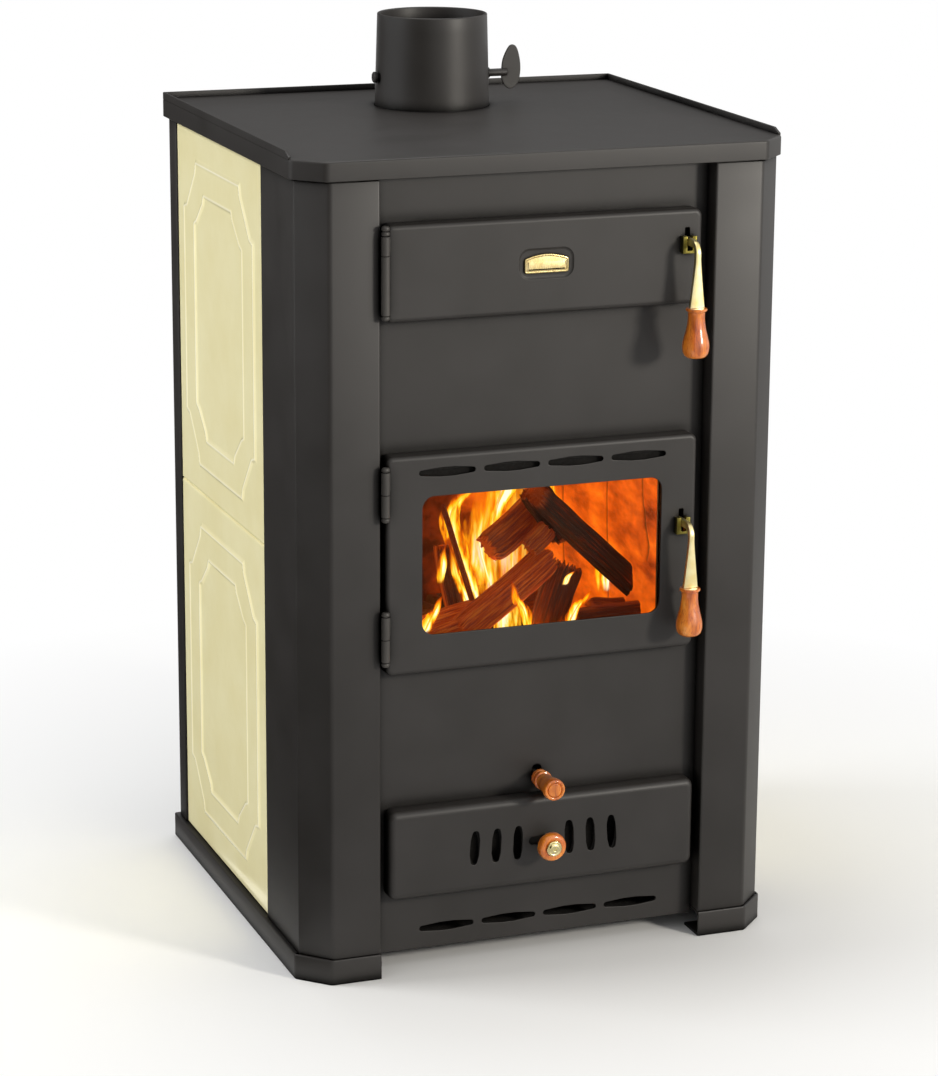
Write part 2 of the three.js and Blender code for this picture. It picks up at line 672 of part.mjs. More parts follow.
// Doors: a pressed shell, a liner tray, a rope seal and, on the fire door, the glass
const doorBack = panelFront + doorGap;
const doorCorner = 9;
const doorEdge = 5;
const glassThickness = 4;
const linerSheet = 2.3;
const linerCorner = 8;
const linerBack = shellInside - seatGap - glassThickness - seatGap - linerSheet;
const sealWidth = 10;
const sealMargin = 1;
const linerHalf = doorwayHalfWidth + sealWidth + sealMargin * 2;
const windowHalf = 141;
const windowMargin = { below: 43.6, above: 46.5 };
const windowBottom = fireDoorBottom + windowMargin.below;
const windowTop = fireDoorTop - windowMargin.above;
const windowCorner = 14;
const glassLap = 9;
const linerLap = 2;
const fireSlotDrop = 19.9;
const badge = { half: 25.5, rise: 44.8, height: 20.7, side: 8.5, corner: 3, thickness: 2.2, bevel: 0.6 };
const dish = { half: 31.5, rise: 38.5, height: 33, corner: 12, depth: 1.4 };
const leverSlot = { half: 2.8, below: 11, above: 14.5 };

const leverHole = (height) => onFront(roundedRect(leverX, height - leverSlot.below,
  height + leverSlot.above, leverSlot.half, leverSlot.half / 2), doorBack, doorFront + overrun);

const doorShell = (bottom, top) => pressedShell({ middleX: doorMiddle, bottom, top,
  half: doorHalfWidth, corner: doorCorner, edge: doorEdge, front: doorFront, back: doorBack,
  wall: doorWall });

function topDoorShell() {
  const bottom = topDoorBottom + dish.rise;
  const recess = roundedRect(doorMiddle, bottom, bottom + dish.height, dish.half, dish.corner);
  return cutAway(doorShell(topDoorBottom, topDoorTop), leverHole(leverHeights.top),
    onFront(recess, doorFront - dish.depth, doorFront + overrun));
}

function fireDoorShell() {
  const glazing = roundedRect(doorMiddle, windowBottom, windowTop, windowHalf, windowCorner);
  const slots = slotRow(doorMiddle, fireDoorTop - fireSlotDrop).map(asShape);
  return cutAway(doorShell(fireDoorBottom, fireDoorTop), leverHole(leverHeights.fire),
    ...[glazing, ...slots].map((shape) => onFront(shape, doorBack, doorFront + overrun)));
}

// The liner is a tray whose rim meets the inside of the shell.
function linerTray(doorway) {
  const past = sealWidth + sealMargin * 2;
  const [bottom, top] = [doorway.bottom - past, doorway.top + past];
  const tray = onFront(roundedRect(doorMiddle, bottom, top, linerHalf, linerCorner),
    linerBack, shellInside - seatGap);
  const hollow = onFront(roundedRect(doorMiddle, bottom + linerSheet, top - linerSheet,
    linerHalf - linerSheet, linerCorner - linerSheet), linerBack + linerSheet, doorFront);
  return cutAway(tray, hollow);
}

const fireLiner = () => cutAway(linerTray(fireDoorway), onFront(roundedRect(doorMiddle,
  windowBottom - linerLap, windowTop + linerLap, windowHalf + linerLap, windowCorner),
linerBack - overrun, doorFront));

const glassPane = () => onFront(roundedRect(doorMiddle, windowBottom - glassLap, windowTop + glassLap,
  windowHalf + glassLap, windowCorner), shellInside - seatGap - glassThickness, shellInside - seatGap);

function ropeSeal({ bottom, top }) {
  const shape = (past, corner) => [doorMiddle, bottom - past, top + past, doorwayHalfWidth + past, corner];
  const rope = roundedRect(...shape(sealMargin + sealWidth, doorwayCorner + sealWidth));
  rope.holes.push(roundedHole(...shape(sealMargin, doorwayCorner)));
  return onFront(rope, panelFront + seatGap, linerBack - seatGap);
}

// A plaque with an arched top that lies in the pressed dish of the upper door.
function badgePlate() {
  const shape = new THREE.Shape();
  const bottom = topDoorBottom + badge.rise;
  const top = bottom + badge.height;
  const shoulder = top - badge.side / 2;
  shape.moveTo(doorMiddle - badge.half + badge.corner, bottom);
  shape.lineTo(doorMiddle + badge.half - badge.corner, bottom);
  shape.quadraticCurveTo(doorMiddle + badge.half, bottom, doorMiddle + badge.half,
    bottom + badge.corner);
  shape.lineTo(doorMiddle + badge.half, shoulder - badge.corner);
  shape.quadraticCurveTo(doorMiddle + badge.half, shoulder,
    doorMiddle + badge.half - badge.corner, shoulder);
  shape.quadraticCurveTo(doorMiddle, top + badge.side / 2,
    doorMiddle - badge.half + badge.corner, shoulder);
  shape.quadraticCurveTo(doorMiddle - badge.half, shoulder,
    doorMiddle - badge.half, shoulder - badge.corner);
  shape.lineTo(doorMiddle - badge.half, bottom + badge.corner);
  shape.quadraticCurveTo(doorMiddle - badge.half, bottom, doorMiddle - badge.half + badge.corner,
    bottom);
  const back = doorFront - dish.depth + seatGap;
  const plate = new THREE.ExtrudeGeometry(shape, { depth: badge.thickness - badge.bevel * 2,
    bevelEnabled: true, bevelThickness: badge.bevel, bevelSize: badge.bevel, bevelOffset: -badge.bevel,
    bevelSegments: 1, curveSegments: arcSteps });
  return plate.translate(0, 0, back + badge.bevel).rotateX(Math.PI / 2);
}

// Hinges: each lift-off pair has a frame half with the pin and a door half that drops over it
const hingeOutset = 2.5;
const hingeStand = 6;
const hingeX = doorMiddle - doorHalfWidth - hingeOutset;
const hingeForward = doorFront + hingeStand;
const knuckleRadius = 4.8;
const knuckleBore = 2.5;
const pinRadius = 2.2;
const knuckleCap = 4;
const hingeSteps = 12;
const frameLeaf = { sheet: 2.4, trim: 4, lap: 1.2 };
const doorLeaf = { reach: 14.5, sheet: 2.4, trim: 3 };
const bead = { radius: 4.6, height: 5.5, neck: 3 };
const beadShares = [[0.05, 0.75], [0.3, 1], [0.62, 1], [0.9, 0.7]];
const topHinge = { rise: 10.5, split: 64, height: 85, beads: 2 };
const fireHinges = {
  lower: { rise: 19.5, split: 25.5, height: 51, beads: 1 },
  upper: { rise: 182.5, split: 25, height: 50, beads: 1 },
};

const hingeSpan = (doorBottom, { rise, split, height, beads }) => {
  const bottom = doorBottom + rise;
  return { bottom, split: bottom + split, top: bottom + height, beads };
};

const beadProfile = (from, direction) => beadShares.map(
  ([along, wide]) => [wide * bead.radius, from + direction * along * bead.height]);

function frameHalf({ bottom, split, top }) {
  const seam = split - seatGap / 2;
  const pinTop = top - knuckleCap;
  const barrel = turned([[0, bottom - bead.height], ...beadProfile(bottom, -1).reverse(),
    [bead.neck, bottom],
    [knuckleRadius, bottom], [knuckleRadius, seam], [pinRadius, seam], [pinRadius, pinTop], [0, pinTop]],
  hingeSteps).translate(hingeX, -hingeForward, 0);
  const back = hingeForward - knuckleRadius + frameLeaf.lap;
  const strap = block(hingeX - frameLeaf.sheet / 2, hingeX + frameLeaf.sheet / 2, -back,
    -panelFront - seatGap, bottom + frameLeaf.trim, split - frameLeaf.trim);
  return joined(barrel, strap);
}

function doorHalf({ split, top, beads }) {
  const seam = split + seatGap / 2;
  const boreTop = top - knuckleCap + seatGap;
  const crest = Array.from({ length: beads }, (_, i) => [
    [bead.neck, top + i * bead.height], ...beadProfile(top + i * bead.height, 1)]).flat();
  const barrel = turned([[0, boreTop], [knuckleBore, boreTop], [knuckleBore, seam], [knuckleRadius, seam],
    [knuckleRadius, top], ...crest, [0, top + beads * bead.height]], hingeSteps)
    .translate(hingeX, -hingeForward, 0);
  const back = doorFront + seatGap;
  const strap = block(hingeX, hingeX + doorLeaf.reach, -back - doorLeaf.sheet, -back,
    split + doorLeaf.trim, top - doorLeaf.trim);
  return joined(barrel, strap);
}

// Levers: a tapering bar that turns in a bracket on the door, with a tongue inside and a wooden grip
const armReach = 14;
const armBend = 11;
const armDrop = 69;
const armPin = { radius: 2, reach: 7 };
const armTang = { radius: 3, length: 18 };
const armSections = {
  tongue: { width: 5, depth: tongueDepth },
  bend: { width: 5.5, depth: 6.2 },
  foot: { width: 17.5, depth: 5.6 },
};
const armChamferShare = 0.3;
const bendSteps = 5;
const leverGrip = { length: 56, radius: 15 };
const leverGripShares = [[0, 0.8], [0.02, 0.89], [0.1, 0.9], [0.125, 0.82], [0.14, 0.74], [0.22, 0.7],
  [0.34, 0.7], [0.46, 0.78], [0.6, 0.92], [0.72, 1], [0.84, 0.97], [0.93, 0.78], [0.98, 0.48], [1, 0.2],
  [1, 0]];
const bracket = { half: 8, channel: 3.1, below: 13, above: 6, depth: 7.7, bridge: 3, bore: 2.3 };

// The bar's stations from the tongue to its foot: place, heading and section, about the pivot.
function armStations() {
  const { tongue, bend, foot } = armSections;
  const straight = [armTongue, bracket.depth, -bracket.depth].map(
    (y) => ({ y, z: 0, heading: 0, ...tongue }));
  const turn = Array.from({ length: bendSteps + 1 }, (_, i) => {
    const heading = (Math.PI / 2) * i / bendSteps;
    return { y: -armReach - armBend * Math.sin(heading), z: armBend * (Math.cos(heading) - 1), heading,
      ...bend };
  });
  return [...straight, ...turn,
    { y: -armReach - armBend, z: -armDrop, heading: Math.PI / 2, ...foot }];
}

function leverArm() {
  const stations = armStations();
  const spots = [];
  const faces = [];
  for (const { y, z, heading, width, depth } of stations) {
    const [w, d] = [width / 2, depth / 2];
    const chamfer = armChamferShare * d;
    const section = [[w - chamfer, -d], [w, chamfer - d], [w, d - chamfer], [w - chamfer, d],
      [chamfer - w, d], [-w, d - chamfer], [-w, chamfer - d], [chamfer - w, -d]];
    for (const [x, up] of section) {
      spots.push(x, y - up * Math.sin(heading), z + up * Math.cos(heading));
    }
  }
  const sides = 8;
  for (let i = 0; i < stations.length - 1; i += 1) {
    for (let k = 0; k < sides; k += 1) {
      const [a, b] = [i * sides + k, i * sides + (k + 1) % sides];
      faces.push(a, b, b + sides, a, b + sides, a + sides);
    }
  }
  const last = (stations.length - 1) * sides;
  for (let k = 1; k < sides - 1; k += 1) {
    faces.push(0, k + 1, k, last, last + k, last + k + 1);
  }
  const bar = new THREE.BufferGeometry();
  bar.setAttribute('position', new THREE.Float32BufferAttribute(spots, 3));
  bar.setIndex(faces);
  const pin = alongX(disc(armPin.radius, -armPin.reach, armPin.reach));
  const tang = disc(armTang.radius, -armDrop - armTang.length, -armDrop + armTang.radius)
    .translate(0, -armReach - armBend, 0);
  return joined(bar, pin, tang);
}

const leverHandle = () => turnedGrip(
  leverGripShares, leverGrip, armTang.radius + seatGap, armTang.length + seatGap)
  .rotateX(Math.PI).translate(0, -armReach - armBend, -armDrop - seatGap);

function leverBracket() {
  const back = doorFront + seatGap - leverForward;
  const body = block(-bracket.half, bracket.half, -back - bracket.depth, -back,
    -bracket.below, bracket.above);
  const channel = block(-bracket.channel, bracket.channel, -back - bracket.depth - overrun,
    -back + overrun, -bracket.below + bracket.bridge, bracket.above + overrun);
  const bore = alongX(disc(bracket.bore, -armPin.reach - seatGap, armPin.reach + seatGap));
  return cutAway(body, channel, bore);
}

// Ash drawer: a pressed front with slots, a pan behind it and a shutter that slides behind the slots
const drawerHalf = 184;
const drawerEdge = 8;
const drawerCorner = 10;
const shortSlot = { length: 40, middle: 10.8, end: 7.8, flat: 18 };
const shortSlotPlaces = [31, 56.8, 82.8];
const shortSlotHeight = (ashDrawerBottom + ashDrawerTop) / 2;
const shortSlotLeans = [2, 3, 4].map(THREE.MathUtils.degToRad);
const knobRise = 0.5;
const knobHeight = shortSlotHeight + knobRise;
const knobTravel = 13;
const stemRadius = 4;
const stemPlay = 0.7;
const shutterSheet = 1.8;
const shutterHalf = 100;
const shutterReach = 30;
const shutterBottom = shortSlotHeight - shutterReach;
const shutterTop = shortSlotHeight + shutterReach;
const ledge = { half: 120, sheet: 3, depth: 4, lap: 0.4 };
const panPlay = { side: 3, above: 24, front: 2, rear: 48 };
const panSheet = 2;
const panHalf = ashInner - panPlay.side;
const panTop = ashDrawerTop - panPlay.above;
const panFront = panelBack - panPlay.front;
const panRear = chamberRear - panPlay.rear;
const knobStand = 17;
const knob = { outer: 16.5, back: doorFront + knobStand, length: 14.5, bore: stemRadius + seatGap };
const knobShares = [[0, 0.6], [0.1, 0.82], [0.3, 0.98], [0.5, 1], [0.7, 0.98], [0.9, 0.84], [1, 0.66]];
const stemCap = { radius: 9, rise: 3.2, crown: 6 };
const stemCollar = { radius: 6.5, stand: 0.6, depth: 9 };

function shortSlots() {
  return shortSlotPlaces.flatMap((x, i) => [-1, 1].map((side) => lensSlot(side * x, shortSlotHeight,
    shortSlot, Math.PI / 2 - side * shortSlotLeans[i])));
}

function ashDrawerFront() {
  const shell = pressedShell({ middleX: 0, bottom: ashDrawerBottom, top: ashDrawerTop, half: drawerHalf,
    corner: drawerCorner, edge: drawerEdge, front: doorFront, back: doorBack, wall: doorWall });
  const guide = (bottom) => block(-ledge.half, ledge.half, -shellInside - ledge.lap,
    -shellInside + ledge.depth, bottom, bottom + ledge.sheet);
  const guided = joined(shell, guide(shutterBottom - seatGap - ledge.sheet), guide(shutterTop + seatGap));
  const radius = stemRadius + stemPlay;
  const stemSlot = roundedRect(-knobTravel / 2, knobHeight - radius, knobHeight + radius,
    knobTravel / 2 + radius, radius);
  const holes = [stemSlot, ...shortSlots().map(asShape)];
  return cutAway(guided, ...holes.map((shape) => onFront(shape, panelFront, doorFront + overrun)));
}

function ashPan() {
  const bottom = ashFloor + bodySheet + seatGap;
  const front = shellInside - seatGap;
  const tray = block(-panHalf, panHalf, -front, panRear, bottom, panTop);
  const hollow = block(-panHalf + panSheet, panHalf - panSheet, -front - overrun, panRear - panSheet,
    bottom + panSheet, panTop + overrun);
  const frontWall = block(-panHalf + panSheet / 2, panHalf - panSheet / 2, -panFront,
    -panFront + panSheet, bottom + panSheet / 2, panTop);
  return joined(cutAway(tray, hollow), frontWall);
}

function airShutter() {
  const shape = outline([[-shutterHalf, shutterBottom], [shutterHalf, shutterBottom],
    [shutterHalf, shutterTop], [-shutterHalf, shutterTop]]);
  shape.holes.push(...shortSlots());
  return onFront(shape, shellInside - seatGap - shutterSheet, shellInside - seatGap);
}

function knobStem() {
  const collar = { from: doorFront + stemCollar.stand };
  collar.to = collar.from + stemCollar.depth;
  const capBack = knob.back + knob.length + seatGap;
  return towardsFront(turned([[0, shellInside], [stemRadius, shellInside],
    [stemRadius, collar.from], [stemCollar.radius, collar.from], [stemCollar.radius, collar.to],
    [stemRadius, collar.to], [stemRadius, capBack], [stemCap.radius, capBack],
    [stemCap.crown, capBack + stemCap.rise], [0, capBack + stemCap.rise]])).translate(0, 0, knobHeight);
}

function knobRing() {
  const outside = knobShares.map(([along, wide]) => [wide * knob.outer, knob.back + along * knob.length]);
  return towardsFront(turned([[knob.bore, knob.back], ...outside, [knob.bore, knob.back + knob.length],
    [knob.bore, knob.back]])).translate(0, 0, knobHeight);
}

// The pieces, one named mesh each, in groups that move together
function named(name, form, look) {
  const mesh = new THREE.Mesh(closedForm(form), new THREE.MeshStandardMaterial(look));
  mesh.name = name;
  return mesh;
}

function grouped(...pieces) {
  const group = new THREE.Group();
  group.add(...pieces);
  return group;
}

function placedAt(group, x, y, z) {
  group.position.set(x, y, z);
  return group;
}

function bothSides(name, form, look) {
  return [named(`right_${name}`, form, look), named(`left_${name}`, mirrored(form), look)];
}

const casing = grouped(
  named('top_plate', topPlate(), stovePaint),
  ...bothSides('front_post', frontPost(), stovePaint),
  ...bothSides('rear_stile', rearStile(), stovePaint),
  ...bothSides('side_sheet', sideSheet(), innerSteel),
  ...bothSides('upper_tile', sideTile(tileJoint + seatGap / 2, tileTop), creamGlaze),
  ...bothSides('lower_tile', sideTile(standLevel, tileJoint - seatGap / 2), creamGlaze),
  ...bothSides('plinth', sidePlinth(), stovePaint),
  named('rear_plinth', rearPlinth(), stovePaint),
  named('base_plate', basePlate(), innerSteel),
  named('front_plate', frontPlate(), stovePaint),
  named('rear_cover', rearCover(), stovePaint),
);

const boiler = grouped(
  named('ash_chamber', ashChamber(), innerSteel),
  named('water_jacket', waterJacket(), innerSteel),
  named('crown_plate', crownPlate(), innerSteel),
  named('fixed_grate', fixedGrate(), castIron),
  ...bothSides('firebrick', sideBrick(), fireclay),
  named('rear_firebrick', rearBrick(), fireclay),
  named('baffle_plate', bafflePlate(), innerSteel),
  ...Object.entries(sockets).map(([name, { x, z }]) => placedAt(
    named(`${name}_socket`, waterSocket(), brightSteel), x, 0, z)),
);

const flue = grouped(
  placedAt(named('flue_collar', flueCollar(), stovePaint), 0, collarRear, 0),
  placedAt(grouped(
    named('damper_spindle', damperSpindle(), innerSteel),
    named('damper_plate', damperPlate(), castIron),
    named('damper_handle', damperHandle(), stovePaint),
  ), 0, collarRear, damperHeight),
);

const frameHinges = grouped(
  named('top_hinge_frame_half', frameHalf(hingeSpan(topDoorBottom, topHinge)), stovePaint),
  named('fire_upper_hinge_frame_half', frameHalf(hingeSpan(fireDoorBottom, fireHinges.upper)), stovePaint),
  named('fire_lower_hinge_frame_half', frameHalf(hingeSpan(fireDoorBottom, fireHinges.lower)), stovePaint),
);

const shaker = grouped(
  named('moving_grate', movingGrate(), castIron),
  named('shaker_rod', shakerRod(), innerSteel),
  named('shaker_grip', shakerHandle(), lacqueredWood),
);

function lever(name, height) {
  return placedAt(grouped(
    named(`${name}_handle_bracket`, leverBracket(), paleBrass),
    named(`${name}_handle_arm`, leverArm(), paleBrass),
    named(`${name}_handle_grip`, leverHandle(), lacqueredWood),
  ), leverX, -leverForward, height);
}

const topDoor = grouped(
  named('top_door_shell', topDoorShell(), stovePaint),
  named('top_door_liner', linerTray(topDoorway), innerSteel),
  named('top_door_seal', ropeSeal(topDoorway), ropeFibre),
  named('badge_plate', badgePlate(), paleBrass),
  named('top_hinge_door_half', doorHalf(hingeSpan(topDoorBottom, topHinge)), stovePaint),
  lever('top', leverHeights.top),
);

const fireDoor = grouped(
  named('fire_door_shell', fireDoorShell(), stovePaint),
  named('fire_door_glass', glassPane(), ceramicGlass),
  named('fire_door_liner', fireLiner(), innerSteel),
  named('fire_door_seal', ropeSeal(fireDoorway), ropeFibre),
  named('fire_upper_hinge_door_half', doorHalf(hingeSpan(fireDoorBottom, fireHinges.upper)), stovePaint),
  named('fire_lower_hinge_door_half', doorHalf(hingeSpan(fireDoorBottom, fireHinges.lower)), stovePaint),
  lever('fire', leverHeights.fire),
);

const ashDrawer = grouped(
  named('ash_drawer_front', ashDrawerFront(), stovePaint),
  named('ash_pan', ashPan(), innerSteel),
  named('air_shutter', airShutter(), innerSteel),
  named('air_knob_stem', knobStem(), paleBrass),
  named('air_knob', knobRing(), lacqueredWood),
);

// The origin lies under the middle between the foremost grip and the rearmost socket.
const frontReach = leverForward + armReach + armBend + leverGrip.radius;
const stove = grouped(casing, boiler, flue, frameHinges, shaker, topDoor, fireDoor, ashDrawer);
stove.position.y = (frontReach - rearReach) / 2;

export default stove;
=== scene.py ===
# A wood-fired boiler stove with glazed tiles on its sides, dressed for a studio picture.
# Metres, +Z up, the doors face -Y.
import json
from functools import partial
import bmesh
import bpy
import numpy as np
from mathutils import Matrix, Vector, geometry


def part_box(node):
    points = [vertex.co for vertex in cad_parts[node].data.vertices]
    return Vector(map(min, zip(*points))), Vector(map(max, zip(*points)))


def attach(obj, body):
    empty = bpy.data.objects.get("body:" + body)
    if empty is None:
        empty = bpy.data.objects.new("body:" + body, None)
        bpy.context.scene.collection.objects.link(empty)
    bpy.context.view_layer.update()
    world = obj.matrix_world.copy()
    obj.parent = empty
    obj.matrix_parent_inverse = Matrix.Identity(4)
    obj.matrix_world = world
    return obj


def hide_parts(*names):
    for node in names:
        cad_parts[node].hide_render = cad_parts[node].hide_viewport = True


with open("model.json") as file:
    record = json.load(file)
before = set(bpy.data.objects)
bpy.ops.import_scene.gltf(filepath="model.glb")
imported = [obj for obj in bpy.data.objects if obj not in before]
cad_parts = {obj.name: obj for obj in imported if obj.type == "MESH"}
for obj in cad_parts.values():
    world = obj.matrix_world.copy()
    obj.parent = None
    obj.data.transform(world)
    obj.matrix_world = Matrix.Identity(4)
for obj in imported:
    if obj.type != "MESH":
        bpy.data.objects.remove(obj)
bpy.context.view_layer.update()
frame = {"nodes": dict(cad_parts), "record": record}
mm = 0.001
root = "stove_body"
seatGap = 0.3 * mm  # between pieces that sit against each other
nodeSlots = {row["node"]: row["material_slot"] for row in frame["record"]["subparts"]}
nodeBodies = {node: body for body, members in frame["record"]["behaviour"]["bodies"].items()
              for node in members}
print("stage: frame loaded,", len(frame["nodes"]), "nodes")


def nodeBox(node):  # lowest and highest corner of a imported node, as arrays
    low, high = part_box(node)
    return np.array(low), np.array(high)


def inMetres(**lengths):  # the same lengths, given in mm
    return {name: np.multiply(values, mm) for name, values in lengths.items()}


def addObject(name, data):
    item = bpy.data.objects.new(name, data)
    bpy.context.scene.collection.objects.link(item)
    return item


# Camera: fitted to the corners of the casing in the photograph
view = {"azimuth": -20.4, "elevation": 15.09, "roll": 0.36, "place": (-1.344, -3.6185, 1.471),
        "focalPixels": 3408, "imageHeight": 1076, "sensorWidth": 36}


def makeCamera():
    data = bpy.data.cameras.new("studio_camera")
    camera = addObject("studio_camera", data)
    turnings = ((view["azimuth"], "Z"), (90 - view["elevation"], "X"), (view["roll"], "Z"))
    camera.matrix_world = Matrix.Translation(view["place"])
    for angle, axis in turnings:
        camera.matrix_world = camera.matrix_world @ Matrix.Rotation(np.radians(angle), 4, axis)
    data.sensor_width = view["sensorWidth"]
    data.lens = view["focalPixels"] / view["imageHeight"] * view["sensorWidth"]
    bpy.context.scene.camera = camera


makeCamera()


# Colours are written as sRGB and turned to linear
def colour(code):
    parts = [int(code[i:i + 2], 16) / 255 for i in (1, 3, 5)]
    return tuple(c / 12.92 if c <= 0.04045 else ((c + 0.055) / 1.055) ** 2.4 for c in parts) + (1.0,)


# Adds a node. Each value is a socket to link, a number or a colour's code for a socket, a ramp's stops or one
# of the node's own fields. The output that is used most comes back.
mainOutputs = {"AmbientOcclusion": "AO", "Attribute": "Fac", "Mix": 2, "TexCoord": "Object",
               "VectorMath": "Value"}


def addNode(tree, kind, values):
    node = tree.nodes.new("ShaderNode" + kind)
    for key, value in values.items():
        if isinstance(value, bpy.types.NodeSocket):
            tree.links.new(value, node.inputs[key])
        elif key == "ramp":
            stops = node.color_ramp.elements
            while len(stops) < len(value):
                stops.new(1)
            for stop, (place, shade) in zip(stops, value):
                stop.position, stop.color = place, colour(shade)
        elif isinstance(key, int) or key in node.inputs:
            node.inputs[key].default_value = colour(value) if isinstance(value, str) else value
        else:
            setattr(node, key, value)
    return node.outputs[mainOutputs.get(kind, 0)] if node.outputs else None


# A material from a function that adds its nodes, given as add, and returns its shader
def makeMaterial(name, surface, *choices):
    material = bpy.data.materials.new(name)
    material.use_nodes = True
    material.node_tree.nodes.clear()
    add = partial(addNode, material.node_tree)
    add("OutputMaterial", {"Surface": surface(add, *choices)})
    return material


times, plus = {"operation": "MULTIPLY"}, {"operation": "ADD"}
blend = {"data_type": "RGBA"}
multiply = {**blend, "blend_type": "MULTIPLY", 0: 1.0}


# Noise over the piece's own place: size is the real distance between its lumps, in mm
def grain(add, size, detail=3.0, stretch=(1, 1, 1), roughness=0.5):
    place = add("Mapping", {"Vector": add("TexCoord", {}), "Scale": stretch})
    return add("TexNoise", {"Vector": place, "Scale": 1 / (size * mm), "Detail": detail,
                            "Roughness": roughness})


# The shader of a material: roughness goes from low to high with one pattern, and another raises the skin
def finish(add, values, gloss, low, high, skin=None, depth=0.0, strength=1.0):
    values = {**values, "Roughness": add("MapRange", {0: gloss, 1: 0.3, 2: 0.7, 3: low, 4: high})}
    if skin:
        values["Normal"] = add("Bump", {"Height": skin, "Distance": depth * mm, "Strength": strength})
    return add("BsdfPrincipled", values)


# Plain finishes. Each has its fixed settings, the pattern of its tint and the tint's stops, the pattern of
# its gloss with the roughness at both ends, and mostly a pattern, depth in mm and strength of its skin. A
# pattern is the distance between its lumps in mm, its detail, its stretch and its roughness.
def plainFinish(add, fixed, tint, stops, gloss, low, high, skin=None, depth=0.0, strength=1.0):
    base = add("ValToRGB", {0: grain(add, *tint), "ramp": stops})
    return finish(add, {**fixed, "Base Color": base}, grain(add, *gloss), low, high,
                  grain(add, *skin) if skin else None, depth, strength)


even = (1, 1, 1)
plainFinishes = {
    # Hot-rolled boiler steel: blue-black mill scale with lighter scuffs
    "inner_steel": ("mill_scale_steel", {"Metallic": 0.6}, (45, 6, even, 0.65),
                    [(0.3, "#232325"), (0.55, "#34322f"), (0.75, "#4a4038")],
                    (4, 3, (1, 1, 6)), 0.45, 0.8, (4, 3, (1, 1, 6)), 0.1, 0.3),
    # The same steel round the fire, under soot: dull and nearly black
    "soot": ("sooty_steel", {"Metallic": 0.0, "Specular IOR Level": 0.25}, (35, 5, even, 0.65),
             [(0.3, "#0b0a09"), (0.6, "#161412"), (0.8, "#2a2420")], (3, 4), 0.75, 0.98, (3, 4), 0.15, 0.4),
    # Raw sand-cast iron: dark grey with a pebbled skin of about 1.5 mm and rusty, sooty stains
    "cast_iron": ("raw_cast_iron", {"Metallic": 0.7}, (30, 5, even, 0.6),
                  [(0.35, "#1d1c1b"), (0.6, "#302c29"), (0.8, "#4a3526")],
                  (30, 5, even, 0.6), 0.6, 0.85, (1.5, 3), 0.25, 0.6),
    # Zinc-plated turned steel: grey, with lathe lines
    "bright_steel": ("zinc_plated_steel", {"Metallic": 1.0}, (20, 3), [(0.3, "#8d9092"), (0.7, "#b3b5b6")],
                     (0.8, 2, (0.2, 1, 0.2)), 0.28, 0.45),
    # Glass ceramic with a faint reflection: clear, and faintly amber in slow clouds
    "stove_glass": ("clear_glass_ceramic", {"Transmission Weight": 1.0, "IOR": 1.1}, (50, 3),
                    [(0.3, "#f6ead6"), (0.7, "#fdf8f0")], (50, 3), 0.0, 0.008),
}

# Lacquered pale brass, yellow with fine polishing lines 0.9 mm apart: polished on the knob, satin on the
# levers, stamped sheet on the plaque, and darkened to a dull olive on the levers' brackets, a painted shade
brass = {"lines": (0.9, 2, (1, 1, 0.15)), "gloss": (0.14, 0.26)}
for slot, name, dark, light, rougher in (
        ("brass", "polished_pale_brass", "#efdb94", "#fbf0c0", 0.0),
        ("satin_brass", "satin_pale_brass", "#efdb94", "#fbf0c0", 0.2),
        ("plaque_brass", "stamped_brass_sheet", "#d6ba76", "#ead59c", 0.08),
        ("bracket_steel", "yellow_passivated_steel", "#6e6426", "#958a45", 0.14)):
    low, high = (end + rougher for end in brass["gloss"])
    plainFinishes[slot] = (name, {"Metallic": 1.0, "Coat Weight": 0.3, "Coat Roughness": 0.08}, (12, 3),
                           [(0.3, dark), (0.7, light)], brass["lines"], low, high, brass["lines"], 0.03, 0.3)

# Heat-proof silicone paint sprayed on sheet steel: satin charcoal, with faint clouds and a fine spray grain.
# The real grain is about 0.2 mm; it is drawn at 1.4 mm so that it shows. Narrow places are darker and duller
# by ambient occlusion, a painted shade, and the hinges are paler, a painted highlight on their barrels.
heatPaint = {"clouds": 70, "grain": 1.4, "grainDepth": 0.02, "ior": 1.48, "satin": 0.46, "dull": 0.5,
             "narrow": 15 * mm, "fullShadeAt": (0.46, 0.9), "creviceShade": "#040404", "shine": 0.5}


def heatPaintSurface(add, dark, light):
    clouds, fine = grain(add, heatPaint["clouds"], 4), grain(add, heatPaint["grain"], 2)
    # Ambient occlusion darkens narrow places and dims their reflection: a painted shade
    hollow = add("AmbientOcclusion", {"Distance": heatPaint["narrow"], "samples": 6})
    fullShadeAt, free = heatPaint["fullShadeAt"]
    unshaded = add("MapRange", {0: hollow, 1: fullShadeAt, 2: free})
    tint = add("ValToRGB", {0: clouds, "ramp": [(0.3, dark), (0.7, light)]})
    return finish(add, {
        "IOR": heatPaint["ior"], "Metallic": 0.0,
        "Base Color": add("Mix", {**blend, 0: unshaded, 6: heatPaint["creviceShade"], 7: tint}),
        "Specular IOR Level": add("Math", {**times, 0: unshaded, 1: heatPaint["shine"]}),
    }, clouds, heatPaint["satin"], heatPaint["dull"], fine, heatPaint["grainDepth"], 0.5)


# Glazed earthenware: a thick cream glaze that breaks paler over the raised edges, partly a painted highlight
# on the beads. The attribute "relief" is 1 on the edges, 0.6 on the band and 0 on the ground.
creamGlaze = {"gloss": 0.12, "softer": 0.2, "clouds": 60, "ripple": 9, "rippleDepth": 0.12,
              "fixed": {"IOR": 1.52, "Coat Weight": 0.6, "Coat Roughness": 0.05}}


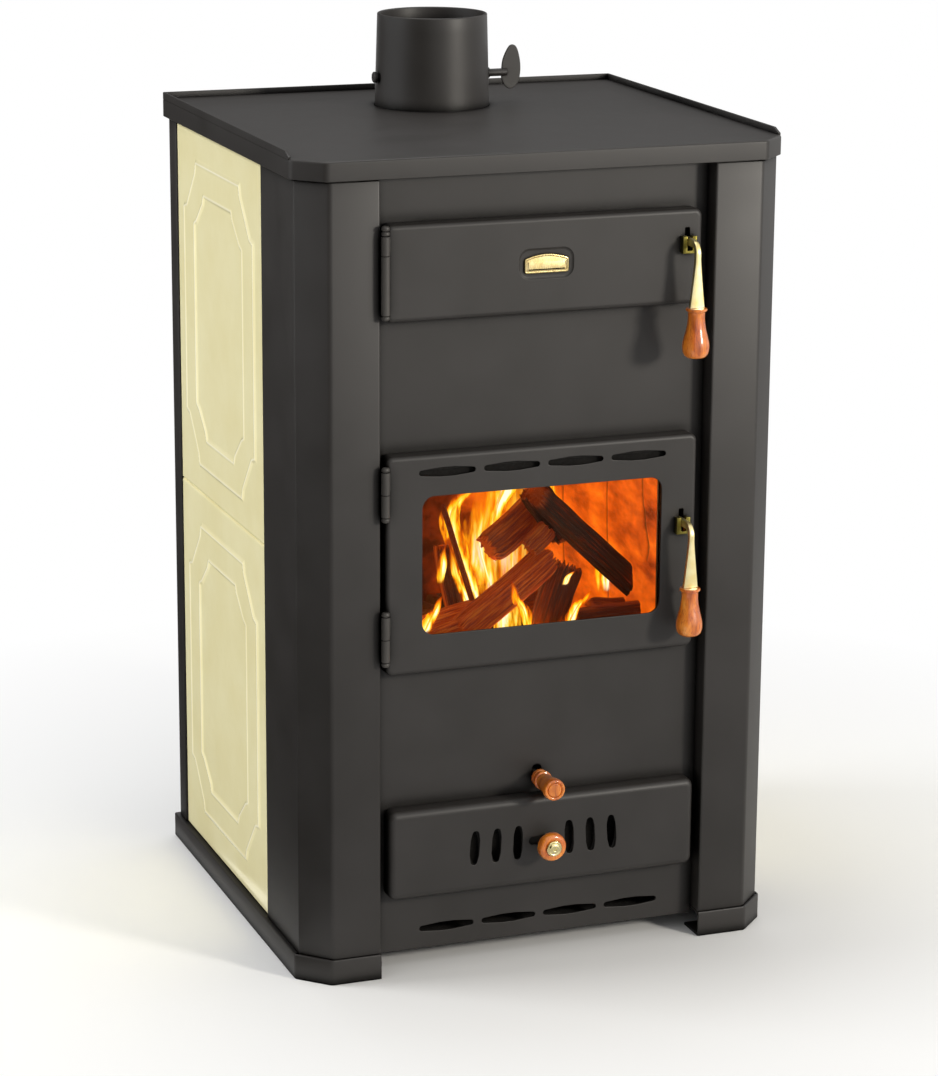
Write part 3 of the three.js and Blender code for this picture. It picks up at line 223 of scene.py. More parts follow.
def glazeSurface(add):
    relief = add("Attribute", {"attribute_name": "relief"})
    clouds = grain(add, creamGlaze["clouds"], 3)
    paleEdgesAndHighlight = add("ValToRGB", {0: relief, "ramp": [(0.0, "#ede5b8"), (0.66, "#ede5b8"), (0.84, "#f6f0d0"),
                                                  (1.0, "#fcf8e2")]})
    cloudy = add("ValToRGB", {0: clouds, "ramp": [(0.3, "#fbf9f2"), (0.7, "#ffffff")]})
    return finish(add, {**creamGlaze["fixed"], "Base Color": add("Mix", {**multiply, 6: paleEdgesAndHighlight, 7: cloudy})},
                  clouds, creamGlaze["gloss"], creamGlaze["softer"], grain(add, creamGlaze["ripple"], 1),
                  creamGlaze["rippleDepth"], 0.4)


# Fireclay brick in a lit firebox: gritty clay, stained, with painted firelight glowing from dark red on the
# left, behind the flames, to orange on the right. The attribute "relief" is 1 on the brick and 0 in joints and
# cracks.
fireclay = {"grit": 2.2, "stain": 30, "stretch": (1, 0.42, 1), "glow": 1.08, "left": (-0.01, -0.5),
            "right": (0.09, 0.07)}


def fireclaySurface(add):
    stain = grain(add, fireclay["stain"], 6, fireclay["stretch"], 0.6)
    grit = grain(add, fireclay["grit"], 3)
    relief = add("Attribute", {"attribute_name": "relief"})
    place = add("SeparateXYZ", {"Vector": add("TexCoord", {})})
    (leftX, dark), (rightX, bright) = fireclay["left"], fireclay["right"]
    # The painted firelight grows from left to right across the firebox
    across = add("MapRange", {0: place, 1: leftX, 2: rightX, 3: dark, 4: bright})
    heat = add("ValToRGB", {0: add("Math", {**plus, 0: stain, 1: across}), "ramp": [
        (0.15, "#220300"), (0.36, "#6a1c02"), (0.5, "#b64202"), (0.63, "#de5c04"), (0.8, "#f08414")]})
    # Joints and cracks take less of the painted firelight
    firelitShare = add("MapRange", {0: relief, 1: 0.2, 2: 0.9, 3: 0.12, 4: 1.0})
    base = add("ValToRGB", {0: stain, "ramp": [(0.3, "#2c1a10"), (0.6, "#5a3a22"), (0.8, "#76552f")]})
    return finish(add, {"Base Color": base, "Emission Color": heat,
                        "Emission Strength": add("Math", {**times, 0: firelitShare, 1: fireclay["glow"]})},
                  grit, 0.85, 1.0, grit, 0.5, 0.7)


# Braided mineral-fibre rope: pale grey strands; the attribute "relief" is 0 where they dip
def ropeSurface(add):
    relief = add("Attribute", {"attribute_name": "relief"})
    fluff = grain(add, 1.2, 3)
    # The strands darken where they dip: a painted shade
    dipShade = add("ValToRGB", {0: relief, "ramp": [(0.1, "#3b3833"), (0.6, "#8d8a83"), (1.0, "#a5a29a")]})
    sooty = add("ValToRGB", {0: grain(add, 30, 4), "ramp": [(0.35, "#8a7f74"), (0.65, "#ffffff")]})
    return finish(add, {"Sheen Weight": 0.3, "Base Color": add("Mix", {**multiply, 6: dipShade, 7: sooty})},
                  fluff, 0.85, 1.0, fluff, 0.3, 0.6)


# Turned beech under an orange-brown gloss lacquer. Soft figure and short pores run along the grain, and the
# lacquer is darker in slow clouds.
lacqueredWood = {"figure": 7, "pores": 1.0, "clouds": 22, "poreTone": 0.6}


def woodSurface(add):
    pores = grain(add, lacqueredWood["pores"], 2, (1, 1, 0.12))
    wood = add("ValToRGB", {0: grain(add, lacqueredWood["figure"], 3, (1, 1, 0.16), 0.55), "ramp": [
        (0.28, "#a9560a"), (0.5, "#da7c18"), (0.72, "#ee9a34")]})
    flecks = add("ValToRGB", {0: pores, "ramp": [(0.34, "#b88048"), (0.46, "#ffffff")]})
    stain = add("ValToRGB", {0: grain(add, lacqueredWood["clouds"], 2), "ramp": [
        (0.3, "#e8c498"), (0.65, "#ffffff")]})
    flecked = add("Mix", {**multiply, 0: lacqueredWood["poreTone"], 6: wood, 7: flecks})
    return finish(add, {"Coat Weight": 1.0, "Coat Roughness": 0.05, "IOR": 1.5,
                        "Base Color": add("Mix", {**multiply, 6: flecked, 7: stain})}, pores, 0.3, 0.42)


# Split firewood half burnt: charred black ridges, brown fibres and embers glowing in the cracks. The
# attribute "heat" says how strongly each place glows and "fresh" how unburnt and fire-lit it is.
burning = {"fibres": (42, 2.2, 1), "patches": 38, "embers": 24, "firelight": 0.45, "crackDepth": 2.5}


def burningSurface(add, char, glow):
    along = add("Mapping", {"Vector": add("UVMap", {}), "Scale": burning["fibres"]})
    fibre = add("TexNoise", {"Vector": along, "Scale": 1.0, "Detail": 5.0, "Roughness": 0.65})
    charred = add("MapRange", {0: grain(add, burning["patches"], 4), 1: char - 0.12, 2: char + 0.12})
    brown = add("ValToRGB", {0: fibre, "ramp": [(0.42, "#060100"), (0.51, "#2a0c02"), (0.62, "#7a2c06")]})
    coal = add("ValToRGB", {0: fibre, "ramp": [(0.42, "#050100"), (0.6, "#2a0c04")]})
    split = add("ValToRGB", {0: fibre, "ramp": [(0.4, "#561602"), (0.5, "#c4560c"), (0.6, "#f4a23c")]})
    fresh, heat = (add("Attribute", {"attribute_name": mark}) for mark in ("fresh", "heat"))
    burnt = add("Mix", {**blend, 0: charred, 6: coal, 7: brown})
    crack = add("MapRange", {0: fibre, 1: 0.28, 2: 0.44, 3: 1.0, 4: 0.0})
    hot = add("MapRange", {0: grain(add, burning["embers"], 2), 1: 0.42, 2: 0.66})
    ember = add("Math", {**times, 0: add("Math", {**times, 0: crack, 1: hot}), 1: heat})
    # Fresh, fire-lit wood glows a little as well: painted firelight
    firelight = add("Math", {**times, 0: fresh, 1: burning["firelight"]})
    return finish(add, {
        "Base Color": add("Mix", {**blend, 0: fresh, 6: burnt, 7: split}),
        "Emission Color": add("Mix", {**blend, 0: fresh, 6: "#ff4a08", 7: split}),
        "Emission Strength": add("Math", {"operation": "MULTIPLY_ADD", 0: ember, 1: glow, 2: firelight}),
    }, fibre, 0.6, 0.95, fibre, burning["crackDepth"], 1.0)


# Flame: glowing gas, white-yellow at its root and middle, orange and thin towards its tip and edges
flameLook = {"strength": 1.5, "streaks": 8}


def flameSurface(add):
    across = add("SeparateXYZ", {"Vector": add("UVMap", {})})
    up = across.node.outputs["Y"]
    side = add("Math", {"operation": "PINGPONG", 0: across, 1: 0.5})
    streak = grain(add, flameLook["streaks"], 4, (1, 1, 0.2))
    body = add("Math", {"operation": "MULTIPLY_ADD", 0: streak, 1: 1.5, 2: -0.66})
    thick = add("Math", {**plus, 0: side, 1: body})
    fade = add("MapRange", {0: up, 1: 0.55, 2: 1.0, 3: 1.0, 4: 0.0})
    cover = add("MapRange", {0: thick, 1: 0.06, 2: 0.42})
    for part in (fade, add("MapRange", {0: up, 1: 0.0, 2: 0.16})):
        cover = add("Math", {**times, 0: cover, 1: part})
    power = add("Attribute", {"attribute_name": "power"})
    cover = add("Math", {**times, "use_clamp": True, 0: cover, 1: power})
    fire = add("ValToRGB", {0: add("Math", {**times, 0: thick, 1: fade}), "ramp": [
        (0.04, "#c83a02"), (0.2, "#ee7a06"), (0.34, "#ffb416"), (0.5, "#ffe060"), (0.66, "#fff8d8")]})
    return add("BsdfPrincipled", {"Base Color": "#000000", "Specular IOR Level": 0.0, "Roughness": 1.0,
                                  "Emission Strength": flameLook["strength"], "Emission Color": fire,
                                  "Alpha": cover})


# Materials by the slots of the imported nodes, and more for single pieces
looks = {slot: makeMaterial(name, plainFinish, *rest) for slot, (name, *rest) in plainFinishes.items()}
for slot, name, surface, *choices in (
        ("stove_paint", "satin_heat_paint", heatPaintSurface, "#24211e", "#2a2725"),
        # The hinges' paint is paler than the stove's: a painted highlight on their barrels
        ("worn_paint", "worn_heat_paint", heatPaintSurface, "#363330", "#423f3b"),
        ("cream_glaze", "cream_glazed_earthenware", glazeSurface),
        ("fireclay", "glowing_fireclay", fireclaySurface),
        ("rope_fibre", "braided_fibre_rope", ropeSurface),
        ("lacquered_wood", "lacquered_turned_beech", woodSurface),
        ("firewood", "charring_beech", burningSurface, 0.5, 2.2),
        ("coals", "glowing_coals", burningSurface, 0.62, 6.0),
        ("flame", "wood_flame", flameSurface)):
    looks[slot] = makeMaterial(name, surface, *choices)
for node, item in frame["nodes"].items():
    item.data.materials.clear()
    item.data.materials.append(looks[nodeSlots[node]])
print("stage: materials made")


# A shape is a pair: points, and faces that number them. This joins several into one.
def together(*shapes):
    points, faces, total = [], [], 0
    for shapePoints, shapeFaces in shapes:
        points.append(np.reshape(shapePoints, (-1, 3)))
        faces += [tuple(int(i) + total for i in face) for face in shapeFaces]
        total += len(points[-1])
    return np.concatenate(points), faces


def changeMesh(mesh, doubles, change):  # merges doubles and makes one change through bmesh
    form = bmesh.new()
    form.from_mesh(mesh)
    bmesh.ops.remove_doubles(form, verts=form.verts, dist=doubles)
    change(form)
    form.to_mesh(mesh)
    form.free()
    mesh.shade_smooth()


# A mesh becomes a piece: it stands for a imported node, rides on its body and takes its slot and material, or
# it is new and rides on the stove.
def addPiece(name, mesh, node, look):
    mesh.materials.clear()
    mesh.materials.append(looks[look or nodeSlots[node]])
    piece = addObject(name, mesh)
    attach(piece, nodeBodies[node] if node else root)
    if node:
        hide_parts(node)
    return piece


# A piece from a shape, with its UV and its marks point by point; its faces are turned out
def makePiece(name, shape, node=None, look=None, sharp=40, uv=None, marks=None):
    points, faces = shape
    mesh = bpy.data.meshes.new(name)
    mesh.from_pydata(np.reshape(points, (-1, 3)), [], faces)
    if uv is not None:
        corners = np.zeros(len(mesh.loops), np.int32)
        mesh.loops.foreach_get("vertex_index", corners)
        mesh.uv_layers.new(name="UVMap").data.foreach_set("uv", uv[corners].ravel())
    for mark, values in (marks or {}).items():
        mesh.attributes.new(mark, "FLOAT", "POINT").data.foreach_set("value", np.float32(values).ravel())
    changeMesh(mesh, 0.004 * mm, lambda form: bmesh.ops.recalc_face_normals(form, faces=form.faces))
    mesh.set_sharp_from_angle(angle=np.radians(sharp))
    return addPiece(name, mesh, node, look)


def makePair(name, shape, node, **more):  # the shape on the right and its mirror image on the left
    points, faces = shape
    makePiece(f"right_{name}", shape, f"right_{node}", **more)
    makePiece(f"left_{name}", (points * [-1, 1, 1], faces), f"left_{node}", **more)


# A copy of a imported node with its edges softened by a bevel
def softened(node, name, soft, steps=2, look=None, sharp=25):
    mesh = frame["nodes"][node].data.copy()
    changeMesh(mesh, 0.01 * mm, lambda form: bmesh.ops.dissolve_limit(
        form, angle_limit=np.radians(1), verts=form.verts, edges=form.edges))
    bevel = addPiece(name, mesh, node, look).modifiers.new("softened", "BEVEL")
    bevel.width, bevel.segments, bevel.limit_method = soft, steps, "ANGLE"
    bevel.angle_limit, bevel.harden_normals = np.radians(sharp), True


# Quads between the rows and columns of a grid of points, numbered row by row from first
def gridFaces(rows, columns, closedRows=False, closedColumns=True, first=0):
    row, column = np.meshgrid(np.arange(rows if closedRows else rows - 1),
                              np.arange(columns if closedColumns else columns - 1), indexing="ij")
    nextRow, nextColumn = (row + 1) % rows, (column + 1) % columns
    quads = np.stack([row * columns + column, row * columns + nextColumn,
                      nextRow * columns + nextColumn, nextRow * columns + column], -1)
    return (quads.reshape(-1, 4) + first).tolist()


def endFaces(rows, columns):  # one face over the first row of a closed grid and one over its last
    return [tuple(range(columns)), tuple(range(columns * (rows - 1), columns * rows))]


# An open grid of points made solid: its border, times keep plus shift, is the edge of a flat back. The mark
# that goes with the points gets one value for the back.
def solidGrid(points, rows, keep, shift, mark, backMark):
    columns = len(points) // rows
    index = np.arange(rows * columns).reshape(rows, columns)
    border = np.concatenate([index[:, 0], index[-1, 1:], index[-2::-1, -1], index[0, -2:0:-1]])
    first, count = len(points), len(border)
    ahead = np.roll(np.arange(count), -1)
    walls = np.stack([border, border[ahead], first + ahead, first + np.arange(count)], 1)
    faces = gridFaces(rows, columns, closedColumns=False) + walls.tolist()
    faces.append(tuple(range(first, first + count)))
    points = np.concatenate([points, points[border] * keep + shift])
    return points, faces, np.concatenate([mark, np.full(count, backMark)])


# Moves each point of an outline (counter-clockwise) inwards along the bisector of its two sides
def inset(outline, distance, closed=True):
    ahead = np.roll(outline, -1, 0) - outline
    if not closed:
        ahead[-1] = ahead[-2]
    ahead = ahead / np.linalg.norm(ahead, axis=1, keepdims=True)
    inward = np.stack([-ahead[:, 1], ahead[:, 0]], 1)
    before = np.roll(inward, 1, 0)
    if not closed:
        before[0] = inward[0]
    both = inward + before
    return outline + distance * both * 2 / (both ** 2).sum(1, keepdims=True)


def arc(centre, radius, start, end, steps):
    turn = np.radians(np.linspace(start, end, steps + 1))
    return centre + radius * np.stack([np.cos(turn), np.sin(turn)], 1)


# A quarter of a circle from flat to upright, as (inset, depth) pairs about a corner
def quarter(radius, steps, start=0.0):
    return arc((start + radius, start + radius), radius, -90, -180, steps)


def roundedOutline(left, right, bottom, top, radius, steps=8):
    corners = [((right - radius, bottom + radius), -90), ((right - radius, top - radius), 0),
               ((left + radius, top - radius), 90), ((left + radius, bottom + radius), 180)]
    return np.concatenate([arc(centre, radius, start, start + 90, steps) for centre, start in corners])


def boxOutline(node, move, radius, steps=8):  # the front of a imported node's box, moved in and rounded
    low, high = nodeBox(node)
    return roundedOutline(low[0] + move, high[0] - move, low[2] + move, high[2] - move, radius, steps)


def opening(x, z, reach, radius, steps=8):  # a rounded rectangle by how far it reaches from a place
    left, right, below, above = reach
    return roundedOutline(x - left, x + right, z - below, z + above, radius, steps)


# A line through points whose bends are rounded: each bend is cut back by radius times the tangent of half its
# turn, and a quadratic curve joins the two cuts.
def bentLine(points, radius, steps=6):
    points = np.asarray(points, float)
    made = [points[0]]
    for before, bend, after in zip(points[:-2], points[1:-1], points[2:]):
        lengths = [np.linalg.norm(bend - before), np.linalg.norm(after - bend)]
        into, out = (bend - before) / lengths[0], (after - bend) / lengths[1]
        turn = np.arccos(np.clip(into @ out, -1, 1))
        cut = min(radius * np.tan(turn / 2), 0.45 * min(lengths))
        share = np.linspace(0, 1, steps + 1)[:, None]
        start, end = bend - into * cut, bend + out * cut
        made += list((1 - share) ** 2 * start + 2 * share * (1 - share) * bend + share ** 2 * end)
    return np.array(made + [points[-1]])


# A smooth line through points: cubic pieces whose slopes come from the neighbours on each side
def smoothLine(points, perSpan=6):
    points = np.asarray(points, float)
    padded = np.concatenate([[2 * points[0] - points[1]], points, [2 * points[-1] - points[-2]]])
    share = np.linspace(0, 1, perSpan, endpoint=False)[:, None]
    made = [0.5 * (2 * b + (c - a) * share + (2 * a - 5 * b + 4 * c - d) * share ** 2
                   + (3 * b - a - 3 * c + d) * share ** 3)
            for a, b, c, d in zip(padded[:-3], padded[1:-2], padded[2:-1], padded[3:])]
    return np.concatenate(made + [points[-1:]])


def mirrored(line):  # a line followed by its mirror image in x
    return np.concatenate([line, (line * [-1, 1])[::-1]])


# A slot that swells from two blunt ends to a short flat middle, turned about its own middle
def lensOutline(x, z, slot, lean=0.0):
    tip, flat, bulge = slot["end"] / 2, slot["flat"] / 2, slot["middle"] / 2
    round_ = arc((slot["length"] / 2 - tip, 0), tip, -80, 80, 8)
    right = np.concatenate([[[flat, -bulge]], round_, [[flat, bulge]]])
    turn = np.radians(lean)
    spin = np.array([[np.cos(turn), np.sin(turn)], [-np.sin(turn), np.cos(turn)]])
    return np.concatenate([right, -right]) @ spin + (x, z)


# Where an outline's two directions and its depth point to
facingFront = [[1, 0, 0], [0, 0, 1], [0, 1, 0]]
facingRear = [[-1, 0, 0], [0, 0, 1], [0, -1, 0]]
lyingFlat = [[1, 0, 0], [0, 1, 0], [0, 0, 1]]


# A flat body with rounded edges: each outline carries rings of (inset, depth), and both faces are filled
def plate(outer, profile, holes=(), holeProfile=None, front=0.0, direction=1, facing=facingFront):
    points, faces, flats, loops, total = [], [], [], ([], []), 0
    for outline, rings in [(outer, profile)] + [(hole, holeProfile) for hole in holes]:
        count = len(outline)
        for distance, depth in rings:
            flats.append(inset(outline, distance))
            points.append(np.column_stack([flats[-1], np.full(count, front + direction * depth)]) @ facing)
        faces += gridFaces(len(rings), count, first=total)
        loops[0].append(np.arange(count) + total)
        total += count * len(rings)
        loops[1].append(np.arange(count) + total - count)
    flats = np.concatenate(flats)
    for side in loops:
        numbers = np.concatenate(side)
        fill = geometry.tessellate_polygon([[Vector((*flats[i], 0)) for i in loop] for loop in side])
        faces += [tuple(numbers[list(triangle)]) for triangle in fill]
    return np.concatenate(points), faces


# The rings of a pressed shell: a rounded front edge, a straight side and the same again inside the wall
def shellProfile(edge, depth, wall, steps=6):
    inside = quarter(edge - wall, steps, wall)[::-1]
    support, soft = edge + 0.5 * mm, 0.2 * wall
    rim = [[0, depth - soft], [soft, depth], [wall - soft, depth], [wall, depth - soft]]
    return np.concatenate([[[support, 0]], quarter(edge, steps), rim, inside, [[support, wall]]])


# The rings of a cut edge through a sheet: a small round at the front, the cut and a small round behind
def cutProfile(soft, wall, steps=3, outwards=-1):
    front = quarter(soft, steps) * [outwards, 1]
    edge = outwards * (soft + 0.4 * mm)
    return np.concatenate([[[edge, 0]], front, (front * [1, -1] + [0, wall])[::-1], [[edge, wall]]])


# A turned form: (radius, along) pairs carried round an axis
def turned(profile, origin, along=(0, -1, 0), steps=48):
    radius, distance = np.array(profile, float).T[:, :, None, None]
    across = np.array([1.0, 0, 0] if along[0] == 0 else [0, 1.0, 0])
    turn = np.linspace(0, 2 * np.pi, steps, endpoint=False)[None, :, None]
    points = origin + distance * along + radius * (np.cos(turn) * across
                                                   + np.sin(turn) * np.cross(along, across))
    return points.reshape(-1, 3), gridFaces(len(profile), steps)


# A block with rounded edges: a sphere cut in eight and pulled apart to the corners
def roundedBlock(low, high, soft, steps=3):
    low, high = np.array(low), np.array(high)
    half = (high - low) / 2 - soft
    turn = np.concatenate([np.linspace(k, k + 1, steps + 1) for k in range(4)]) * np.pi / 2
    side = np.repeat([[1, 1], [-1, 1], [-1, -1], [1, -1]], steps + 1, 0)
    rise = np.concatenate([np.linspace(-1, 0, steps + 1), np.linspace(0, 1, steps + 1)])[:, None] * np.pi / 2
    lift = np.repeat([-1, 1], steps + 1)[:, None]
    points = np.stack([np.cos(rise) * np.cos(turn) * soft + side[:, 0] * half[0],
                       np.cos(rise) * np.sin(turn) * soft + side[:, 1] * half[1],
                       np.sin(rise) * soft + lift * half[2] + 0 * turn], -1)
    size = points.shape[:2]
    return points.reshape(-1, 3) + (low + high) / 2, gridFaces(*size) + endFaces(*size)


# A closed section of (inset, height) pairs carried along an open line on plan, closed at both ends
def rail(line, section):
    rows = [np.column_stack([inset(line, distance, closed=False), np.full(len(line), height)])
            for distance, height in section]
    count, long = len(section), len(line)
    faces = gridFaces(count, long, closedRows=True, closedColumns=False)
    faces += [tuple(np.arange(count) * long + end) for end in (0, long - 1)]
    return np.concatenate(rows), faces


# Casing: bent sheet covers at the corners and behind the tiles, and the base
casing = inMetres(chamfer=(30, 31), frontBend=9, sideBend=3, sheet=2, soft=0.5, turnIn=18, stileTurnIn=40)
base = inMetres(sheet=3, band=40, corner=33, bend=9, fold=1.6)


def makeCover(name, line, node, top):  # an upright sheet whose outer side follows the line
    bottom, soft = nodeBox(f"right_{node}")[0][2], casing["soft"]
    rounding = np.array([[soft, 0], [0.3 * soft, 0.3 * soft], [0, soft]])
    profile = np.concatenate([rounding, rounding[::-1] * [1, -1] + [0, top - bottom]])
    outline = np.concatenate([line, inset(line, casing["sheet"], closed=False)[::-1]])
    makePair(name, plate(outline, profile, front=bottom, facing=lyingFlat), node)


def makeCovers():
    low, high = nodeBox("right_front_post")
    tileLow, tileHigh = nodeBox("right_lower_tile")
    top = nodeBox("right_side_sheet")[1][2]
    inner, front, side, back = low[0], low[1], high[0], nodeBox("right_rear_stile")[1][1]
    seam, bend, turnIn = tileLow[1] - seatGap, casing["sideBend"], side - casing["turnIn"]
    start, end = (side - casing["chamfer"][0], front), (side, front + casing["chamfer"][1])
    near = bentLine([(inner, nodeBox("front_plate")[0][1] - seatGap), (inner, front), start], bend)
    corner = bentLine([near[-2], start, end], casing["frontBend"])
    far = bentLine([corner[-2], end, (side, seam), (turnIn, seam)], bend)
    makeCover("corner_cover", np.concatenate([near[:-1], corner[1:-1], far[1:]]), "front_post", top)
    seam = tileHigh[1] + seatGap
    line = bentLine([(turnIn, seam), (side, seam), (side, back), (side - casing["stileTurnIn"], back)], bend)
    makeCover("rear_cover_strip", line, "rear_stile", top)


# The base's channel: top flange, rounded fold, face, rounded fold and bottom flange, as one closed loop
def channel(line, band, bottom, top):
    fold, sheet = base["fold"], base["sheet"]
    turn = np.linspace(0, np.pi / 2, 4)
    outer = np.stack([fold - fold * np.sin(turn), top - fold + fold * np.cos(turn)], 1)
    outer = np.concatenate([[[band, top]], outer])
    return rail(line, np.concatenate([
        outer, outer[::-1] * [1, -1] + [0, bottom + top],
        [[band, bottom + sheet], [sheet, bottom + sheet], [sheet, top - sheet], [band, top - sheet]]]))


def makeBase():
    low, high = nodeBox("right_plinth")
    line = bentLine([(low[0], low[1]), (high[0] - base["corner"], low[1]),
                     (high[0], low[1] + base["corner"]), (high[0], high[1])], base["bend"])
    makePair("base_rail", channel(line, base["band"], low[2], high[2]), "plinth")
    low, high = nodeBox("rear_plinth")
    line = np.array([(high[0], high[1]), (low[0], high[1])])
    makePiece("rear_base_rail", channel(line, high[1] - low[1], low[2], high[2]), "rear_plinth")


# Top: a pressed tray with cut corners, and an upstand round its back and sides that tapers off in front
topTray = {**inMetres(corner=31, bend=12, fold=2.4, wall=2.5, rim=7, rimSheet=3, rimSoft=0.8, holePlay=0.3,
                      rimStarts=(4, 16, 18)), "rimFoot": 0.25, "holeSteps": 72}


def makeTopPlate():
    low, high = nodeBox("top_plate")
    collarLow, collarHigh = nodeBox("flue_collar")
    tall, cut, sheet, soft = (topTray[key] for key in ("rim", "corner", "rimSheet", "rimSoft"))
    level = high[2] - tall
    front = bentLine([(high[0] - 2 * cut, low[1]), (high[0] - cut, low[1]), (high[0], low[1] + cut),
                      (high[0], low[1] + 2 * cut)], topTray["bend"], 7)
    back = bentLine([(high[0], high[1] - cut), (high[0], high[1]), (0, high[1])], topTray["fold"], 4)[:-1]
    hole = arc((collarLow + collarHigh)[:2] / 2, (collarHigh[0] - collarLow[0]) / 2 + topTray["holePlay"],
               0, 360, topTray["holeSteps"])[:-1]
    profile = shellProfile(topTray["fold"] + 0.2 * mm, level - low[2], topTray["wall"])
    tray = plate(mirrored(np.concatenate([front, back])), profile, [hole],
                 cutProfile(0.5 * mm, topTray["wall"]), front=level, direction=-1, facing=lyingFlat)
    starts = [[high[0], low[1] + cut + step] for step in topTray["rimStarts"]]
    outside = np.array([[0, level - 1 * mm], [0, high[2] - soft], [0.3 * soft, high[2] - 0.3 * soft],
                        [soft, high[2]]])
    points, faces = rail(mirrored(np.concatenate([starts, back])),
                         np.concatenate([outside[:1], (outside * [-1, 1] + [sheet, 0]), outside[:0:-1]]))
    ends = (points[:, 1] < low[1] + cut + 8 * mm) & (points[:, 2] > level)
    points[ends, 2] = np.minimum(points[ends, 2], level + topTray["rimFoot"] * tall)
    makePiece("top_tray", together(tray, (points, faces)), "top_plate")


# Front plate: a flat sheet with its doorways, latch slots, shaker slot and low vents. An opening is given by
# how far it reaches to the left, to the right, down and up.
longVent = {**inMetres(length=65, middle=10, end=6, flat=16, pitch=75), "count": 4}
facia = inMetres(vents=(5, 44), sheet=4, soft=0.6, seal=11, doorCorner=12, ashSide=6, ashBelow=6.5,
                 ashAbove=7, latch=(5, 8, 30, 4.5), shaker=(5.5, 5.5, 6.5, 13))
keeper = inMetres(half=8.5, above=4.8, rise=13, depth=9.7)
leverDepth = 9 * mm  # of the bar at its tongue


def ventRow(x, z):
    places = (np.arange(longVent["count"]) - (longVent["count"] - 1) / 2) * longVent["pitch"]
    return [lensOutline(x + place, z, longVent) for place in places]


def leverAxis(name):  # the lever turns half its tongue's depth under its highest point
    low, high = nodeBox(f"{name}_handle_arm")
    return (low[0] + high[0]) / 2, high[2] - leverDepth / 2


def makeFrontPlate():
    low, high = nodeBox("front_plate")
    postLow = nodeBox("right_front_post")[0]
    foot, stand, inner = postLow[0] - seatGap, postLow[2], low[1] + facia["sheet"]
    outline = np.array([[-foot, low[2]], [foot, low[2]], [foot, stand], [high[0], stand],
                        [high[0], high[2]], [low[0], high[2]], [low[0], stand], [-foot, stand]])
    ashLow, ashHigh = nodeBox("ash_pan")
    drawerLow, drawerHigh = nodeBox("ash_drawer_front")
    rod = sum(nodeBox("shaker_rod")) / 2
    holes = ventRow(*facia["vents"])
    holes += [boxOutline(f"{door}_door_seal", facia["seal"], facia["doorCorner"]) for door in ("top", "fire")]
    holes += [roundedOutline(ashLow[0] - facia["ashSide"], ashHigh[0] + facia["ashSide"],
                             drawerLow[2] + facia["ashBelow"], drawerHigh[2] - facia["ashAbove"], 4 * mm),
              opening(rod[0], rod[2], facia["shaker"], 0.98 * facia["shaker"][0])]
    keepers = []
    for lever in ("top", "fire"):
        x, z = leverAxis(lever)
        holes.append(opening(x, z, facia["latch"], 3 * mm, 4))
        bottom = z + keeper["above"]
        keepers.append(roundedBlock((x - keeper["half"], inner - 1 * mm, bottom),
                                    (x + keeper["half"], inner + keeper["depth"], bottom + keeper["rise"]),
                                    0.8 * mm))
    soft, sheet = facia["soft"], facia["sheet"]
    flat = plate(outline, cutProfile(soft, sheet, 2, 1), holes, cutProfile(soft, sheet, 2), front=low[1])
    makePiece("front_sheet", together(flat, *keepers), "front_plate")


# Rear cover: a flat sheet round the water sockets, held by hexagon screws with washer faces
rearCover = {**inMetres(soft=0.5, hole=24, screwInset=12, across=7, head=4.2, washer=7, washerRise=1.1),
             "screwRows": (0.035, 0.34, 0.66, 0.965)}


def makeRearCover():
    low, high = nodeBox("rear_cover")
    middles = [sum(nodeBox(f"{socket}_socket")) / 2 for socket in ("flow", "return", "drain")]
    holes = [arc((-middle[0], middle[2]), rearCover["hole"], 0, 360, 48)[:-1] for middle in middles]
    soft, sheet = rearCover["soft"], high[1] - low[1]
    shape = plate(boxOutline("rear_cover", 0, 3 * mm, 4), cutProfile(soft, sheet, 2, 1), holes,
                  cutProfile(soft, sheet, 2), front=-high[1], facing=facingRear)
    makePiece("rear_sheet", shape, "rear_cover")
    washer, rise, heads = rearCover["washer"], rearCover["washerRise"], []
    profile = [[0.7 * mm, 0], [0.15 * mm, 0.35 * mm], [0, 0.8 * mm], [0, rearCover["head"] - 0.2 * mm]]
    corner = rearCover["across"] / 2 / np.cos(np.pi / 6)
    for share in rearCover["screwRows"]:
        for side in (-1, 1):
            x, z = side * (high[0] - rearCover["screwInset"]), low[2] + share * (high[2] - low[2])
            six = arc((-x, z), corner, 10 * side + 15 * share, 370, 6)[:-1]
            heads += [turned([[0, 0], [washer, 0], [washer, 0.5 * rise], [0.8 * washer, rise], [0, rise]],
                             (x, high[1], z), (0, 1, 0), 32),
                      plate(six, profile, front=-high[1] - rearCover["head"], facing=facingRear)]
    makePiece("rear_cover_screws", together(*heads), look="bright_steel")


# Doors: pressed sheet shells
door = inMetres(corner=9, edge=5, wall=2.5, soft=0.6, gap=2.8, glassLap=9, windowCorner=14, ventDrop=19.9,
                leverSlot=(2.8, 2.8, 11, 14.5), dish=(31.5, 31.5, -38.5, 71.5), dishCorner=12, dishDepth=1.4,
                dishSoft=1.6)


def pressing(node, corner, edge, holes, steps=6):
    low, high = nodeBox(node)
    profile = shellProfile(edge, high[1] - low[1] - door["gap"], door["wall"], steps)
    return plate(boxOutline(node, 0, corner, 12), profile, holes, cutProfile(door["soft"], door["wall"]),
                 front=low[1])


